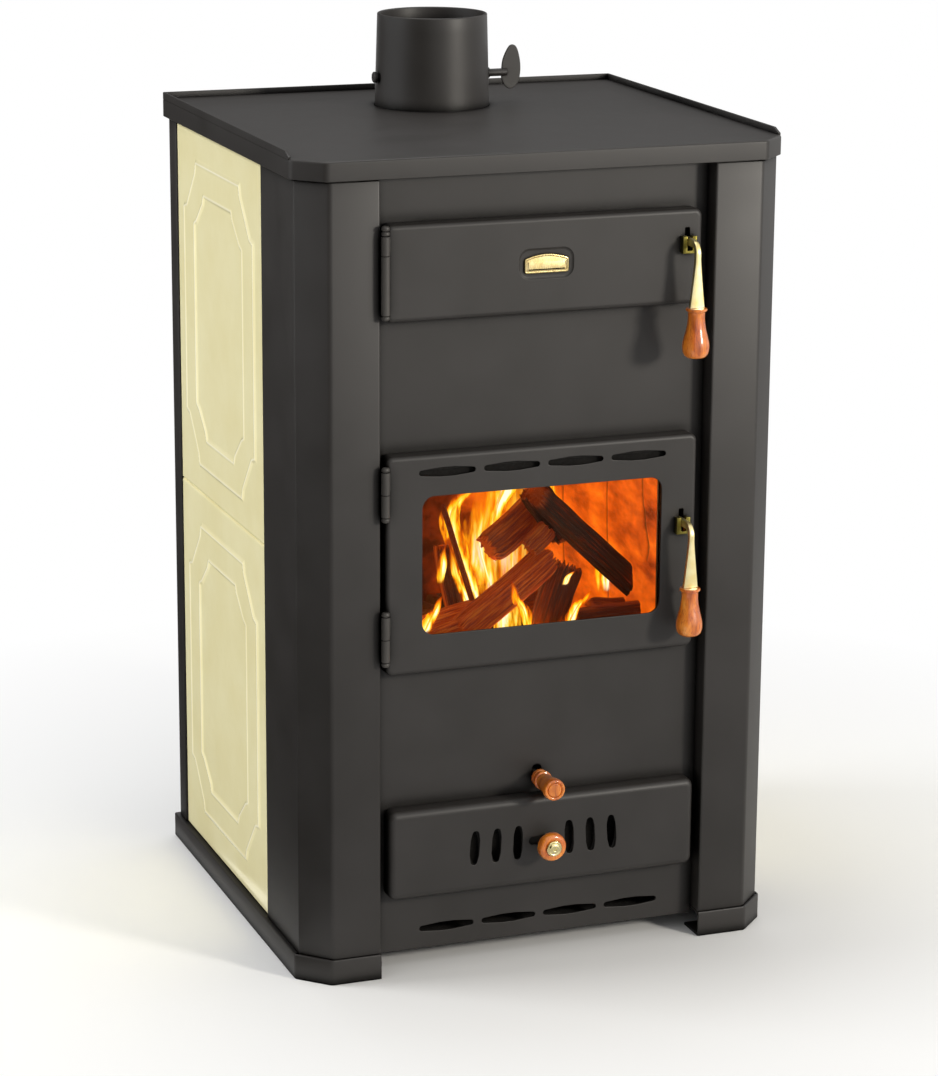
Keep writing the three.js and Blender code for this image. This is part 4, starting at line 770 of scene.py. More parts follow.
def makeDoors():
    slots = {name: opening(*leverAxis(name), door["leverSlot"], 1.4 * mm, 4) for name in ("top", "fire")}
    low, high = nodeBox("fire_door_shell")
    window = boxOutline("fire_door_glass", door["glassLap"], door["windowCorner"], 12)
    vents = ventRow((low[0] + high[0]) / 2, high[2] - door["ventDrop"])
    shape = pressing("fire_door_shell", door["corner"], door["edge"], [window, slots["fire"], *vents])
    makePiece("fire_door_pressing", shape, "fire_door_shell")
    # The upper door has a shallow pressed dish for its plaque, which closes a hole in the face
    low, high = nodeBox("top_door_shell")
    hollow = opening((low[0] + high[0]) / 2, low[2], door["dish"], door["dishCorner"], 10)
    soft, depth, play = door["dishSoft"], door["dishDepth"], 0.02 * mm
    dish = plate(hollow, [[1.6 * soft, depth], [soft, 0.95 * depth], [0.7 * soft, 0.8 * depth],
                          [0.3 * soft, 0.3 * depth + 0.3 * mm], [play, door["soft"]],
                          [play, depth + 0.9 * mm]], front=low[1])
    shape = pressing("top_door_shell", door["corner"], door["edge"], [slots["top"], hollow])
    makePiece("top_door_pressing", together(shape, dish), "top_door_shell")


# Plaque: a bare brass plate with an arched top, a raised rim and a slightly domed field
plaque = {**inMetres(rim=2.2, rise=0.9, side=8.5, corner=3), "rings": [
    [2.1, 0.45], [1.5, 0.75], [1.1, 0.8], [1, 0.5], [0.8, 0.12], [0.6, 0], [0.35, 0.02 / 0.9], [0.12, 0.3],
    [0, 0.7]]}


def makePlaque():
    low, high = nodeBox("badge_plate")
    middle, half = (low[0] + high[0]) / 2, (high[0] - low[0]) / 2
    corner, arch = plaque["corner"], plaque["side"] / 2
    shoulder = high[2] - arch
    bow = np.linspace(1, -1, 33)[1:-1]
    top = np.stack([bow * (half - corner * 0.9), shoulder + arch * (1 - bow ** 2) * 0.98], 1)
    side = np.concatenate([arc((half - corner, low[2] + corner), corner, -90, 0, 6),
                           arc((half - corner, shoulder - corner), corner, 0, 80, 6)])
    outline = np.concatenate([side, top, (side * [-1, 1])[::-1]]) + [middle, 0]
    profile = np.concatenate([np.array(plaque["rings"]) * [plaque["rim"], plaque["rise"]],
                              [[0, high[1] - low[1]]]])
    makePiece("plain_plaque", plate(outline, profile, front=low[1]), "badge_plate", "plaque_brass", 50)


# Ash drawer front: a pressed shell with leaning vents on each side of the knob's slot, and two guides behind
drawer = inMetres(corner=10, edge=8, stem=4, stemPlay=0.7, knobTravel=13, guideHalf=120, guideDepth=4,
                  guideRise=3, ventPlaces=(31, 56.8, 82.8))
drawerVent, ventLeans = inMetres(length=40, middle=10.8, end=7.8, flat=18), (2, 3, 4)


def makeDrawerFront():
    low, high = nodeBox("ash_drawer_front")
    holes, middle = [], (low[2] + high[2]) / 2
    radius, stem = drawer["stem"] + drawer["stemPlay"], sum(nodeBox("air_knob_stem")) / 2
    holes.append(opening(0, stem[2], (drawer["knobTravel"] + radius, radius, radius, radius), radius * 0.98))
    for x, lean in zip(drawer["ventPlaces"], ventLeans):
        holes += [lensOutline(side * x, middle, drawerVent, side * lean - 90) for side in (-1, 1)]
    shell = pressing("ash_drawer_front", drawer["corner"], drawer["edge"], holes, 8)
    shutterLow, shutterHigh = nodeBox("air_shutter")
    inner, half, rise = low[1] + door["wall"], drawer["guideHalf"], drawer["guideRise"]
    deep = inner + drawer["guideDepth"]
    guides = [roundedBlock((-half, inner - 0.2 * mm, z), (half, deep, z + rise), 0.5 * mm)
              for z in (shutterLow[2] - rise - seatGap, shutterHigh[2] + seatGap)]
    makePiece("ash_drawer_pressing", together(shell, *guides), "ash_drawer_front")


# Tiles: a glazed slab with a raised band between two notched outlines, each with a bead inside it. The face
# is a grid whose height follows the signed distance to each outline; its rim is rounded. Level is the band's
# share of the rise.
tile = {**inMetres(edge=3, rise=2, step=1.6, slope=1, bead=1.3, side=29.5, end=33, bandSide=45.5, bandEnd=38),
        "level": 0.6, "outer": inMetres(notch=(52, 58), step=(4, 13)),
        "inner": inMetres(notch=(40, 37), step=(4, 9))}


def notchedOutline(half, tall, band):
    (notchX, notchY), (stepX, stepY) = band["notch"], band["step"]
    corner = mirrored(np.array([[half, tall - notchY], [half - stepY, tall - notchY + stepX],
                                [half - notchX + stepX, tall - stepY], [half - notchX, tall]]))
    return np.concatenate([corner, -corner])


# Signed distance from points to a closed outline: less than zero inside it
def outlineDistance(points, outline):
    nearest = np.full(len(points), np.inf)
    inside = np.zeros(len(points), bool)
    for start, end in zip(outline, np.roll(outline, -1, 0)):
        side, to = end - start, points - start
        share = np.clip((to @ side) / (side @ side), 0, 1)
        nearest = np.minimum(nearest, np.linalg.norm(to - share[:, None] * side, axis=1))
        crosses = (start[1] > points[:, 1]) != (end[1] > points[:, 1])
        rise = side[1] or 1.0
        inside ^= crosses & (points[:, 0] < start[0] + to[:, 1] / rise * side[0])
    return np.where(inside, -nearest, nearest)


def tileFace(half, tall, bandTall):  # rows, points on the flat with their height, and the relief's share
    edge, rise, bead, level = (tile[key] for key in ("edge", "rise", "bead", "level"))
    rim = edge * (1 - np.cos(np.linspace(0, np.pi / 2, 6)))[:-1]
    axes = []
    for reach in (half, tall):
        inner = np.linspace(-reach + edge, reach - edge, int(round(2 * reach / tile["step"])))
        axes.append(np.concatenate([-reach + rim, inner, (reach - rim)[::-1]]))
    flat = np.stack(np.meshgrid(*axes, indexing="ij"), -1).reshape(-1, 2)
    outer = notchedOutline(half - tile["side"], bandTall, tile["outer"])
    inner = notchedOutline(half - tile["side"] - tile["bandSide"], bandTall - tile["bandEnd"], tile["inner"])
    height = -level * rise
    for outline, inwards in ((outer, 1), (inner, -1)):
        deep = -inwards * outlineDistance(flat, outline)
        height = height + rise * (level / 2 * (1 + np.tanh(deep / tile["slope"]))
                                  + (1 - level) * np.exp(-((deep - 1.6 * bead) / bead) ** 2))
    height = height.clip(0)
    near = np.minimum(half - np.abs(flat[:, 0]), tall - np.abs(flat[:, 1])).clip(0, edge)
    rounded = height - (edge - np.sqrt(edge ** 2 - (edge - near) ** 2))
    return len(axes[0]), np.column_stack([flat, rounded]), height / rise


def makeTiles():
    upperLow, upperHigh = nodeBox("left_upper_tile")
    bandTall = (upperHigh[2] - upperLow[2]) / 2 - tile["end"]
    for level in ("upper", "lower"):
        low, high = nodeBox(f"right_{level}_tile")
        face, middle = high[0] - tile["rise"], (low + high) / 2
        rows, points, relief = tileFace((high[1] - low[1]) / 2, (high[2] - low[2]) / 2, bandTall)
        points, faces, relief = solidGrid(points, rows, [1, 1, 0], [0, 0, low[0] - face], relief, 0)
        points = points @ [[0, -1, 0], [0, 0, 1], [1, 0, 0]] + [face, middle[1], middle[2]]
        makePair(f"{level}_glazed_tile", (points, faces), f"{level}_tile", sharp=80, marks={"relief": relief})


makeCovers()
makeBase()
makeTopPlate()
makeFrontPlate()
makeRearCover()
makeTiles()
print("stage: casing dressed")
makeDoors()
makePlaque()
makeDrawerFront()


# Hinges: lift-off barrels with turned beads at their ends, on straps of the same sheet
hinge = inMetres(radius=4.8, beadHeight=5.5, beadRadius=4.6, neck=3.1, pin=2.2, pinLength=3, soft=0.5,
                 strap=2.4, strapInset=4, lip=2, play=0.3, capGap=1)


def beadRings(count):  # rounded beads one after another: a sine swell over each bead's height
    share, tall = np.linspace(0, 1, 9), hinge["beadHeight"]
    swell = np.sin(np.pi * np.clip(share * 1.02, 0, 1)) ** 0.6
    one = np.stack([hinge["neck"] + (hinge["beadRadius"] - hinge["neck"]) * swell, share * tall], 1)
    return np.concatenate([one + [0, i * tall] for i in range(count)] + [[[0, count * tall]]])


def makeHinge(name, doorNode, beads):
    frameLow, frameHigh = nodeBox(f"{name}_frame_half")
    doorLow, doorHigh = nodeBox(f"{name}_door_half")
    soft, radius, pin, long = (hinge[key] for key in ("soft", "radius", "pin", "pinLength"))
    x, y = (frameLow[0] + frameHigh[0]) / 2, frameLow[1] + radius
    bottom, top = frameLow[2] + hinge["beadHeight"], doorHigh[2] - beads * hinge["beadHeight"]
    split, end = doorLow[2], doorLow[2] - seatGap
    lower = np.concatenate([beadRings(1)[::-1] * [1, -1] + [0, bottom], [
        [radius - soft, bottom], [radius, bottom + soft], [radius, end - soft], [radius - soft, end],
        [pin, end], [pin, split + long], [0, split + long]]])
    bore, deep = pin + hinge["play"], split + long + hinge["capGap"]
    upper = np.concatenate([[[0, deep], [bore, deep], [bore, split], [radius - soft, split],
                             [radius, split + soft], [radius, top - soft], [radius - soft, top]],
                            beadRings(beads) + [0, top]])
    front, half, far = nodeBox(doorNode)[0][1], hinge["strap"] / 2, hinge["strapInset"]
    straps = (roundedBlock((x - half, y + radius - half, bottom + far),
                           (x + half, nodeBox("front_plate")[0][1] - seatGap, split - far), soft),
              roundedBlock((x, front - seatGap - hinge["strap"], split + long),
                           (x + radius + hinge["lip"], front - seatGap, top - 3 * mm), soft))
    for part, half, profile, strap in zip(("lower", "upper"), ("frame", "door"), (lower, upper), straps):
        barrel = turned(profile, (x, y, 0), (0, 0, 1), 36)
        # The knuckles take the paler paint, a painted highlight
        makePiece(f"{name}_{part}_knuckle", together(barrel, strap), f"{name}_{half}_half", "worn_paint")


# Flue: a tapered collar with a rounded lip, and a leaf handle on the damper's spindle
flue = {**inMetres(wall=3.5, lip=1.4, tip=64, leafSoft=0.7), "steps": 144,
        # The damper's rod: radius and place in mm, from its start, from the collar and from its end
        "rod": ([(0, 0), (5.5, 0), (6.5, 1), (6.5, 3.7), (5.9, 4.3), (4.5, 4.4)],
                [(4.5, 1.4), (6.3, 1.6), (6.3, 3.6), (4.5, 3.9)], [(4.5, -1), (3.5, 0), (0, 0)]),
        "leaf": [[0, 0.42], [0.04, 0.2], [0.3, 0.03], [0.62, 0.02], [0.9, 0.16], [1, 0.4], [0.97, 0.66],
                 [0.8, 0.93], [0.56, 1], [0.34, 0.93], [0.08, 0.68], [0, 0.42]]}


def makeCollar():
    low, high = nodeBox("flue_collar")
    middle, foot, top = (low + high) / 2, (high[0] - low[0]) / 2, high[2]
    wall, lip, tip = flue["wall"], flue["lip"], flue["tip"]
    level = nodeBox("top_plate")[1][2] - topTray["rim"]
    turn = np.linspace(0, np.pi, 9)
    lipRings = np.stack([tip - wall / 2 + wall / 2 * np.cos(turn), top - lip + lip * np.sin(turn)], 1)
    heights = np.linspace(level, top - lip, 8)[:-1]
    outside = np.stack([np.interp(heights, [level, top], [foot, tip]), heights], 1)
    profile = np.concatenate([[[foot - wall, low[2]], [foot, low[2]]], outside, lipRings,
                              outside[::-1] - [wall, 0], [[foot - wall, low[2]]]])
    shape = turned(profile, (*middle[:2], 0), (0, 0, 1), flue["steps"])
    makePiece("smoke_collar", shape, "flue_collar", sharp=50)


def makeDamper():
    low, high = nodeBox("damper_spindle")
    places = low[0], nodeBox("flue_collar")[1][0], high[0]
    profile = np.concatenate([np.array(rings) * mm + [0, x] for x, rings in zip(places, flue["rod"])])
    shape = turned(profile, (low + high) / 2 * [0, 1, 1], (1, 0, 0), 32)
    makePiece("damper_rod", shape, "damper_spindle", "stove_paint")
    low, high = nodeBox("damper_handle")
    size = high - low
    outline = smoothLine(flue["leaf"], 6)[:-1] * [size[0], size[2]] + [low[0], low[2]]
    shape = plate(outline, cutProfile(flue["leafSoft"], size[1], 3, 1), front=low[1])
    makePiece("damper_leaf", shape, "damper_handle", sharp=50)


# Levers: a bar with softly chamfered edges comes out of its bracket, bends down and widens to its foot, where
# a turned grip sits. Widths and depths hold at the tongue, the bend's start, its middle, its end and the
# foot. Turnings are (share of the radius, share of the length) from the end that meets the metal.
lever = {**inMetres(tongue=44, reach=14, bend=11, drop=69, widths=(5, 5, 5.8, 6.6, 17.5), chamfer=1.5,
                    depths=(9, 9, 7.4, 6.2, 5.4), grip=(15, 56), pin=(2, 7)), "steps": 12, "flare": 1.15}
gripTurning = [[0, 0], [0.55, 0], [0.72, 0.002], [0.775, 0.014], [0.785, 0.032], [0.77, 0.052], [0.7, 0.066],
               [0.645, 0.085], [0.62, 0.13], [0.628, 0.22], [0.68, 0.34], [0.77, 0.46], [0.88, 0.57],
               [0.965, 0.67], [0.998, 0.75], [0.985, 0.83], [0.9, 0.91], [0.74, 0.962], [0.5, 0.99],
               [0.25, 0.9985], [0, 1]]


def leverBar(origin):
    steps, reach, bend, cut = (lever[key] for key in ("steps", "reach", "bend", "chamfer"))
    turn = np.linspace(0, np.pi / 2, steps + 1)[1:]
    forward = np.concatenate([np.linspace(-lever["tongue"], reach, steps), reach + bend * np.sin(turn),
                              np.full(steps, reach + bend)])
    height = np.concatenate([np.zeros(steps), bend * (np.cos(turn) - 1),
                             -np.linspace(bend, lever["drop"], steps + 1)[1:]])
    heading = np.concatenate([np.zeros(steps), turn, np.full(steps, np.pi / 2)])[:, None]
    places = [0, steps - 1, 1.5 * steps, 2 * steps - 1, 3 * steps - 1]
    width, depth = (np.interp(np.arange(3 * steps), places, lever[key]) for key in ("widths", "depths"))
    bent, foot = lever["widths"][3:]
    width[2 * steps:] = bent + (foot - bent) * np.linspace(0, 1, steps) ** lever["flare"]
    half = np.stack([width, depth], 1)[:, None, :] / 2 * [[1, -1], [1, 1], [-1, 1], [-1, -1]]
    into = np.array([[1, 0], [0, 1], [-1, 0], [0, -1]])
    corners = [half + cut * (b * np.roll(into, -1, 0) - a * into) for a, b in ((1, 0), (0.3, 0.3), (0, 1))]
    side, up = np.moveaxis(np.stack(corners, 2).reshape(3 * steps, -1, 2), -1, 0)
    points = np.stack([side, -forward[:, None] - up * np.sin(heading),
                       height[:, None] + up * np.cos(heading)], -1) + origin
    return points, gridFaces(*side.shape) + endFaces(*side.shape)


def turnedWood(name, turning, size, origin, node, along=(0, -1, 0), perSpan=4):
    profile = smoothLine(np.array(turning) * size, perSpan)
    profile[:, 0] = profile[:, 0].clip(0)
    makePiece(name, turned(profile, origin, along, 64), node, sharp=70)


def makeLever(name):
    low, high = nodeBox(f"{name}_handle_arm")
    gripLow, gripHigh = nodeBox(f"{name}_handle_grip")
    x, z = leverAxis(name)
    turning = (x, high[1] - lever["tongue"], z)
    thick, half = lever["pin"]
    pin = turned([[0, -half], [thick, -half], [thick, half], [0, half]], turning, (1, 0, 0), 24)
    bar = together(leverBar(turning), pin)
    makePiece(f"{name}_lever_bar", bar, f"{name}_handle_arm", "satin_brass", 28)
    top = (x, (gripLow[1] + gripHigh[1]) / 2, gripHigh[2])
    turnedWood(f"{name}_lever_grip", gripTurning, lever["grip"], top, f"{name}_handle_grip", (0, 0, -1), 5)
    # The bracket takes the darkened brass, a painted shade
    softened(f"{name}_handle_bracket", f"{name}_lever_bracket", 0.8 * mm, 3, "bracket_steel")


# Shaker grip and air knob, turned in the same wood, and the air knob's brass stem with its collar and boss
shakerTurning = [[0, 0], [0.4, 0], [0.66, 0.004], [0.76, 0.02], [0.8, 0.05], [0.8, 0.1], [0.77, 0.125],
                 [0.66, 0.135], [0.64, 0.155], [0.67, 0.175], [0.8, 0.185], [0.86, 0.21], [0.87, 0.25],
                 [0.83, 0.285], [0.72, 0.3], [0.7, 0.32], [0.73, 0.335], [0.77, 0.35], [0.78, 0.4],
                 [0.8, 0.5], [0.87, 0.64], [0.95, 0.77], [1.0, 0.87], [1.0, 0.93], [0.965, 0.975],
                 [0.9, 0.995], [0.8, 0.998], [0.72, 0.985], [0.68, 0.965], [0.64, 0.965], [0.6, 0.985],
                 [0.5, 0.99], [0, 0.99]]
knob = {**inMetres(bore=4.35, stem=4, ball=(6.5, 4.4), ballGap=0.6), "turning": [
    [0.56, 0.0], [0.72, 0.02], [0.88, 0.13], [0.98, 0.33], [1, 0.52], [0.98, 0.7], [0.9, 0.88], [0.78, 0.97],
    [0.66, 1.0], [0.585, 0.985]],
    # The boss at the stem's tip: radius and how far behind the tip, in mm
    "boss": [[4, 3.4], [9, 3.3], [9, 2.4], [8.5, 1.6], [7.8, 1.3], [7, 1.4], [6.5, 1.7], [6, 1.4], [5.3, 0.6],
             [4, 0.2], [2.6, 0], [2.1, 0.3], [1.7, 1.2], [0, 1.4]]}


def makeKnobs():
    low, high = nodeBox("shaker_grip")
    turnedWood("shaker_turned_grip", shakerTurning, [(high[0] - low[0]) / 2, high[1] - low[1]],
               (low + high) / 2 * [1, 0, 1] + [0, high[1], 0], "shaker_grip")
    low, high = nodeBox("air_knob")
    x, z = ((low + high) / 2)[[0, 2]]
    outer, length, bore = (high[0] - low[0]) / 2, high[1] - low[1], knob["bore"]
    seat = 0.94 * length
    ring = np.concatenate([[[bore, 0]], smoothLine(knob["turning"], 5) * [outer, length],
                           [[0.575 * outer, seat], [bore, seat], [bore, 0]]])
    makePiece("air_turned_knob", turned(ring, (x, high[1], z), steps=64), "air_knob", sharp=60)
    low, high = nodeBox("air_knob_stem")
    stem, (wide, long), turn = knob["stem"], knob["ball"], np.linspace(0.7, 2.44, 11)
    face = high[1] - nodeBox("ash_drawer_front")[0][1] + knob["ballGap"]
    ball = np.stack([wide * np.sin(turn), face + long - long * np.cos(turn)], 1)
    boss = np.array(knob["boss"]) * [mm, -mm] + [0, high[1] - low[1]]
    profile = np.concatenate([[[0, 0], [stem, 0], [stem, ball[0, 1]]], ball, [[stem, ball[-1, 1]]], boss])
    makePiece("air_knob_boss", turned(profile, (x, high[1], z), steps=56), "air_knob_stem", sharp=45)


for name, doorNode, beads in (("top_hinge", "top_door_shell", 2), ("fire_upper_hinge", "fire_door_shell", 1),
                              ("fire_lower_hinge", "fire_door_shell", 1)):
    makeHinge(name, doorNode, beads)
makeCollar()
makeDamper()
makeLever("top")
makeLever("fire")
makeKnobs()
print("stage: doors, levers and flue made")


# Rope seals: a rope pressed to a rounded rectangle, whose crossing strands stand out as rows of diamonds
seal = {**inMetres(width=10, corner=18, strand=9, relief=0.9, step=1.2), "around": 28, "slant": 4,
        "roundness": 0.8, "squareness": 0.6}


def makeSeal(name):
    node, inner = f"{name}_door_seal", seal["width"] / 2
    low, high = nodeBox(node)
    line = boxOutline(node, inner, seal["corner"], 12)
    line = np.concatenate([line, line[:1]])
    run = np.concatenate([[0], np.cumsum(np.linalg.norm(np.diff(line, axis=0), axis=1))])
    count = int(run[-1] / seal["step"])
    place = np.linspace(0, run[-1], count, endpoint=False)
    middle = np.stack([np.interp(place, run, line[:, k]) for k in (0, 1)], 1)
    ahead = np.roll(middle, -1, 0) - np.roll(middle, 1, 0)
    across = ahead[:, ::-1] * [1, -1] / np.linalg.norm(ahead, axis=1, keepdims=True)
    turn = np.linspace(0, 2 * np.pi, seal["around"], endpoint=False)
    turns = np.round(run[-1] / seal["strand"]) * 2 * np.pi * place / run[-1]
    strands = [np.abs(np.sin((turns[:, None] + slant * turn[None, :]) / 2))
               for slant in (seal["slant"], -seal["slant"])]
    sunk = seal["relief"] * (1 - np.maximum(*strands) ** seal["roundness"])
    out, deep = (np.sign(part) * np.abs(part) ** seal["squareness"] * (half - sunk) for part, half in
                 ((np.cos(turn), inner), (np.sin(turn), (high[1] - low[1]) / 2)))
    x, z = (middle[:, None, k] + out * across[:, None, k] for k in (0, 1))
    shape = np.stack([x, (low[1] + high[1]) / 2 + deep, z], -1), gridFaces(*x.shape, closedRows=True)
    makePiece(f"{name}_door_rope", shape, node, sharp=80, marks={"relief": 1 - sunk / seal["relief"]})


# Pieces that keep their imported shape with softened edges: the bevel in mm, the piece's name and any own look
softEdges = {
    "crown_plate": (0.8, "boiler_crown", "soot"), "ash_chamber": (0.5, "lower_boiler_body", "soot"),
    "water_jacket": (1.0, "boiler_water_jacket"), "fixed_grate": (1.2, "cast_fire_grate"),
    "moving_grate": (1.0, "cast_shaking_grate"), "baffle_plate": (0.8, "smoke_baffle", "soot"),
    "flow_socket": (0.8, "flow_pipe_socket"), "return_socket": (0.8, "return_pipe_socket"),
    "drain_socket": (0.8, "drain_pipe_socket"), "ash_pan": (0.5, "folded_ash_pan", "soot"),
    "air_shutter": (0.4, "air_slide", "soot"), "shaker_rod": (0.6, "shaker_bar"),
    "damper_plate": (0.4, "damper_disc", "soot"), "base_plate": (0.5, "base_sheet"),
    "top_door_liner": (0.5, "top_door_inner_tray"), "fire_door_liner": (0.5, "fire_door_inner_tray", "soot"),
    "fire_door_glass": (0.5, "fire_window"),
}


# Bricks: a box whose face to the fire is a grid, with mortar joints and cracks sunk into it. Joints are
# places across a brick, and a crack is a broken line of (across, height).
brick = inMetres(
    joint=2.4, jointDepth=1.8, crack=5, crackDepth=1.6, sway=3, step=2, rough=0.5,
    rearJoints=(-85, 20, 115), rearCrack=[(-60, 600), (-50, 550), (-70, 500)], sideJoints=(-67, 62),
    sideCrack=[(-169, 530), (-172, 500), (-178, 478), (-188, 455), (-183, 440)])


def wavySum(u, v, size, seed):  # a repeatable lumpy value between about -1 and 1
    total = np.zeros(np.broadcast(u, v).shape)
    for octave, waves in enumerate(np.random.RandomState(seed).uniform(0, 2 * np.pi, (5, 4, 2))):
        rate = 2 * np.pi / size * 1.9 ** octave
        for heading, phase in waves:
            total = total + np.sin(rate * (u * np.cos(heading) + v * np.sin(heading)) + phase) / 1.7 ** octave
    return total / 5


def crackShare(u, v, line, seed):  # how near each point lies to a broken line, from 1 on it to 0
    nearest = np.full(u.shape, np.inf)
    sway = brick["sway"] * wavySum(u, v, 40 * mm, seed)
    for (x0, z0), (x1, z1) in zip(line[:-1], line[1:]):
        dx, dz = x1 - x0, z1 - z0
        along = np.clip(((u - x0) * dx + (v - z0) * dz) / (dx ** 2 + dz ** 2), 0, 1)
        nearest = np.minimum(nearest, np.hypot(u - x0 - along * dx + sway, v - z0 - along * dz))
    return np.clip(1 - nearest / brick["crack"], 0, 1)


def makeBrick(side, turn, thick, wide, joints, crack, seed):
    low, high = nodeBox(f"{side}_firebrick")
    rows, columns = (int((end - start) / brick["step"]) + 1 for start, end in (wide, (low[2], high[2])))
    u, v = np.meshgrid(np.linspace(*wide, rows), np.linspace(low[2], high[2], columns), indexing="ij")
    near = np.abs(u[..., None] - joints).min(-1)
    sunk = np.maximum(brick["jointDepth"] * np.clip(1 - near / brick["joint"], 0, 1) ** 0.6,
                      brick["crackDepth"] * crackShare(u, v, crack, seed))
    clear = np.clip(1 - sunk / brick["jointDepth"], 0, 1).ravel()
    sunk = sunk + brick["rough"] * (1 + wavySum(u, v, 30 * mm, seed + 9)).clip(0, 2) / 2
    points, faces, relief = solidGrid(np.stack([u, sunk, v], -1).reshape(-1, 3), rows, [1, 0, 1],
                                      [0, thick, 0], clear, 1)
    makePiece(f"{side}_brick_lining", (turn(points), faces), f"{side}_firebrick", sharp=60,
              marks={"relief": relief})


def makeBricks():
    low, high = nodeBox("rear_firebrick")
    makeBrick("rear", lambda points: points + [0, low[1], 0], high[1] - low[1], (low[0], high[0]),
              brick["rearJoints"], brick["rearCrack"], 3)
    for side, name in ((1, "right"), (-1, "left")):
        low, high = nodeBox(f"{name}_firebrick")
        inner = low[0] if side > 0 else high[0]
        makeBrick(name, lambda points: points[:, [1, 0, 2]] * [side, 1, 1] + [inner, 0, 0], high[0] - low[0],
                  (low[1], high[1]), brick["sideJoints"], brick["sideCrack"], 11 + side)


# The fire, as the window shows it. Places are (x, z) on the door's face as the camera sees them, and depth
# is how far behind the door each thing stands along the camera's line of sight, all in mm.
logs = [
    # name, start (x, z, depth), end (x, z, depth), half width, half depth, roll, seed, glow, and how fresh
    # and fire-lit the wood is over the log, along one edge of it (+ or -) and on its cut ends
    ("long_log", (-12, 541, 80), (118, 419, 130), 12.5, 11, 25, 1, 0.3, 0, 0, 0.2),
    ("broad_log", (-100, 396, 70), (1, 474, 120), 15.5, 12, -12, 2, 0.6, 0.3, -0.85, 0.5),
    ("cut_block", (-66, 488, 130), (-10, 533, 150), 17.5, 12, 12, 3, 0.4, 0.16, 0, 0.6),
    ("cut_face", (-20, 484, 105), (0, 506, 110), 12.5, 8, 8, 21, 0.3, 0.2, 0, 0.4),
    ("crown_block", (-16, 549, 110), (16, 496, 120), 14.5, 12, 15, 12, 0.2, 0, 0, 0.2),
    ("middle_log", (24, 462, 120), (-4, 390, 120), 16.5, 13, 30, 4, 0.3, 0.04, 0, 0.2),
    ("left_splinter", (-79, 412, 120), (-117, 537, 140), 2.8, 2.4, 30, 5, 0.8, 0.15, 0, 0),
    ("left_stub", (-101, 405, 130), (-119, 494, 150), 8.5, 7, 0, 6, 0.6, 0.06, 0.6, 0.2),
    ("left_ember_log", (-148, 405, 100), (-78, 423, 120), 12.5, 11, 0, 7, 1.6, 0.4, 0.4, 0.3),
    ("left_low_log", (-140, 388, 60), (-82, 408, 80), 10, 9, 20, 13, 1.2, 0.3, 0, 0.4),
    ("right_ember_log", (30, 401, 80), (136, 407, 100), 9.5, 9, 15, 8, 1.8, 0.05, 0.2, 0.2),
    ("right_ember_chunk", (50, 414, 130), (100, 408, 140), 10, 9, 40, 10, 1.4, 0.1, 0, 0.2),
    ("right_chip", (30, 496, 130), (52, 476, 140), 8, 7, 5, 9, 0.2, 0, 0, 0.1),
    ("rear_log", (-90, 430, 330), (60, 440, 360), 22, 20, 10, 11, 0.6, 0.1, 0, 0.2)]
flames = [
    # name, root (x, z) and bends towards the tip, half widths there, depth and strength
    ("left_sheet", [(-69, 412), (-85, 455), (-97, 490), (-105, 522), (-92, 545), (-62, 556), (-50, 600)],
     [3, 8, 13, 13, 11, 10, 3], 200, 1.3),
    ("left_inner", [(-52, 420), (-64, 460), (-74, 500), (-64, 540), (-55, 600)],
     [10, 18, 20, 18, 6], 250, 0.7),
    ("back_haze", [(-30, 400), (-35, 470), (-30, 530), (-35, 620)], [50, 60, 55, 40], 380, 0.4),
    ("top_tongue", [(-58, 500), (-52, 530), (-43, 553), (-45, 610)], [6, 13, 20, 6], 280, 1.4),
    ("top_right_tongue", [(12, 490), (15, 515), (10, 540), (4, 610)], [4, 8, 10, 4], 200, 1.4),
    ("right_flame", [(70, 430), (70, 458), (76, 480), (80, 502)], [14, 14, 9, 1], 180, 1.4),
    ("front_curl", [(-21, 390), (-24, 412), (-35, 431), (-42, 451)], [4, 7.5, 6, 1], 50, 1.6),
    ("centre_blade", [(24, 386), (32, 406), (42, 420), (54, 432)], [5, 9, 7, 1], 65, 1.9),
    ("middle_lick", [(22, 440), (27, 450), (33, 455)], [4, 4, 1], 80, 1.8),
    ("far_left_blade", [(-140, 402), (-130, 422), (-120, 442)], [10, 8, 1], 80, 1.9),
    ("left_lick", [(-121, 455), (-119, 475), (-116, 497)], [4, 6, 1], 110, 1.3),
    ("left_core", [(-81, 412), (-99, 455), (-112, 500)], [3, 6, 1], 130, 1.1),
    ("low_glow", [(-50, 390), (-50, 430), (-45, 470)], [30, 25, 6], 200, 0.8)]
wood = {"around": 110, "along": 60, "ridges": 44, "blunt": 4.5, "lumpy": 0.1, "fibrous": 0.06,
        "ragged": 0.16, "bent": 0.12, "jag": 5 * mm, "coldAbove": 0.42, "coldBy": 0.12, "hot": 0.8,
        "glow": 0.35}
embers = {**inMetres(height=92, rough=15, step=3, lumpEdge=9, least=8, gap=2, frontGap=6, frontLap=30,
                     slope=40), "lumps": 260, "front": 0.45, "rim": 0.25, "crackHeat": 1.25,
          "lumpHeat": 0.35, "backHeat": 0.2}
blaze = {"tilts": (0.15, 1.1), "widths": (1, 0.8), "ripple": 0.25, "bow": 0.35}
uvSize = 0.12  # metres of a log's length or of the ember bed to one unit of UV


def throughWindow(x, z, depth):
    face, eye = nodeBox("fire_door_shell")[0][1], np.array(view["place"])
    point = np.array([x * mm, face, z * mm])
    return point + (point - eye) * depth * mm / (face - eye[1])


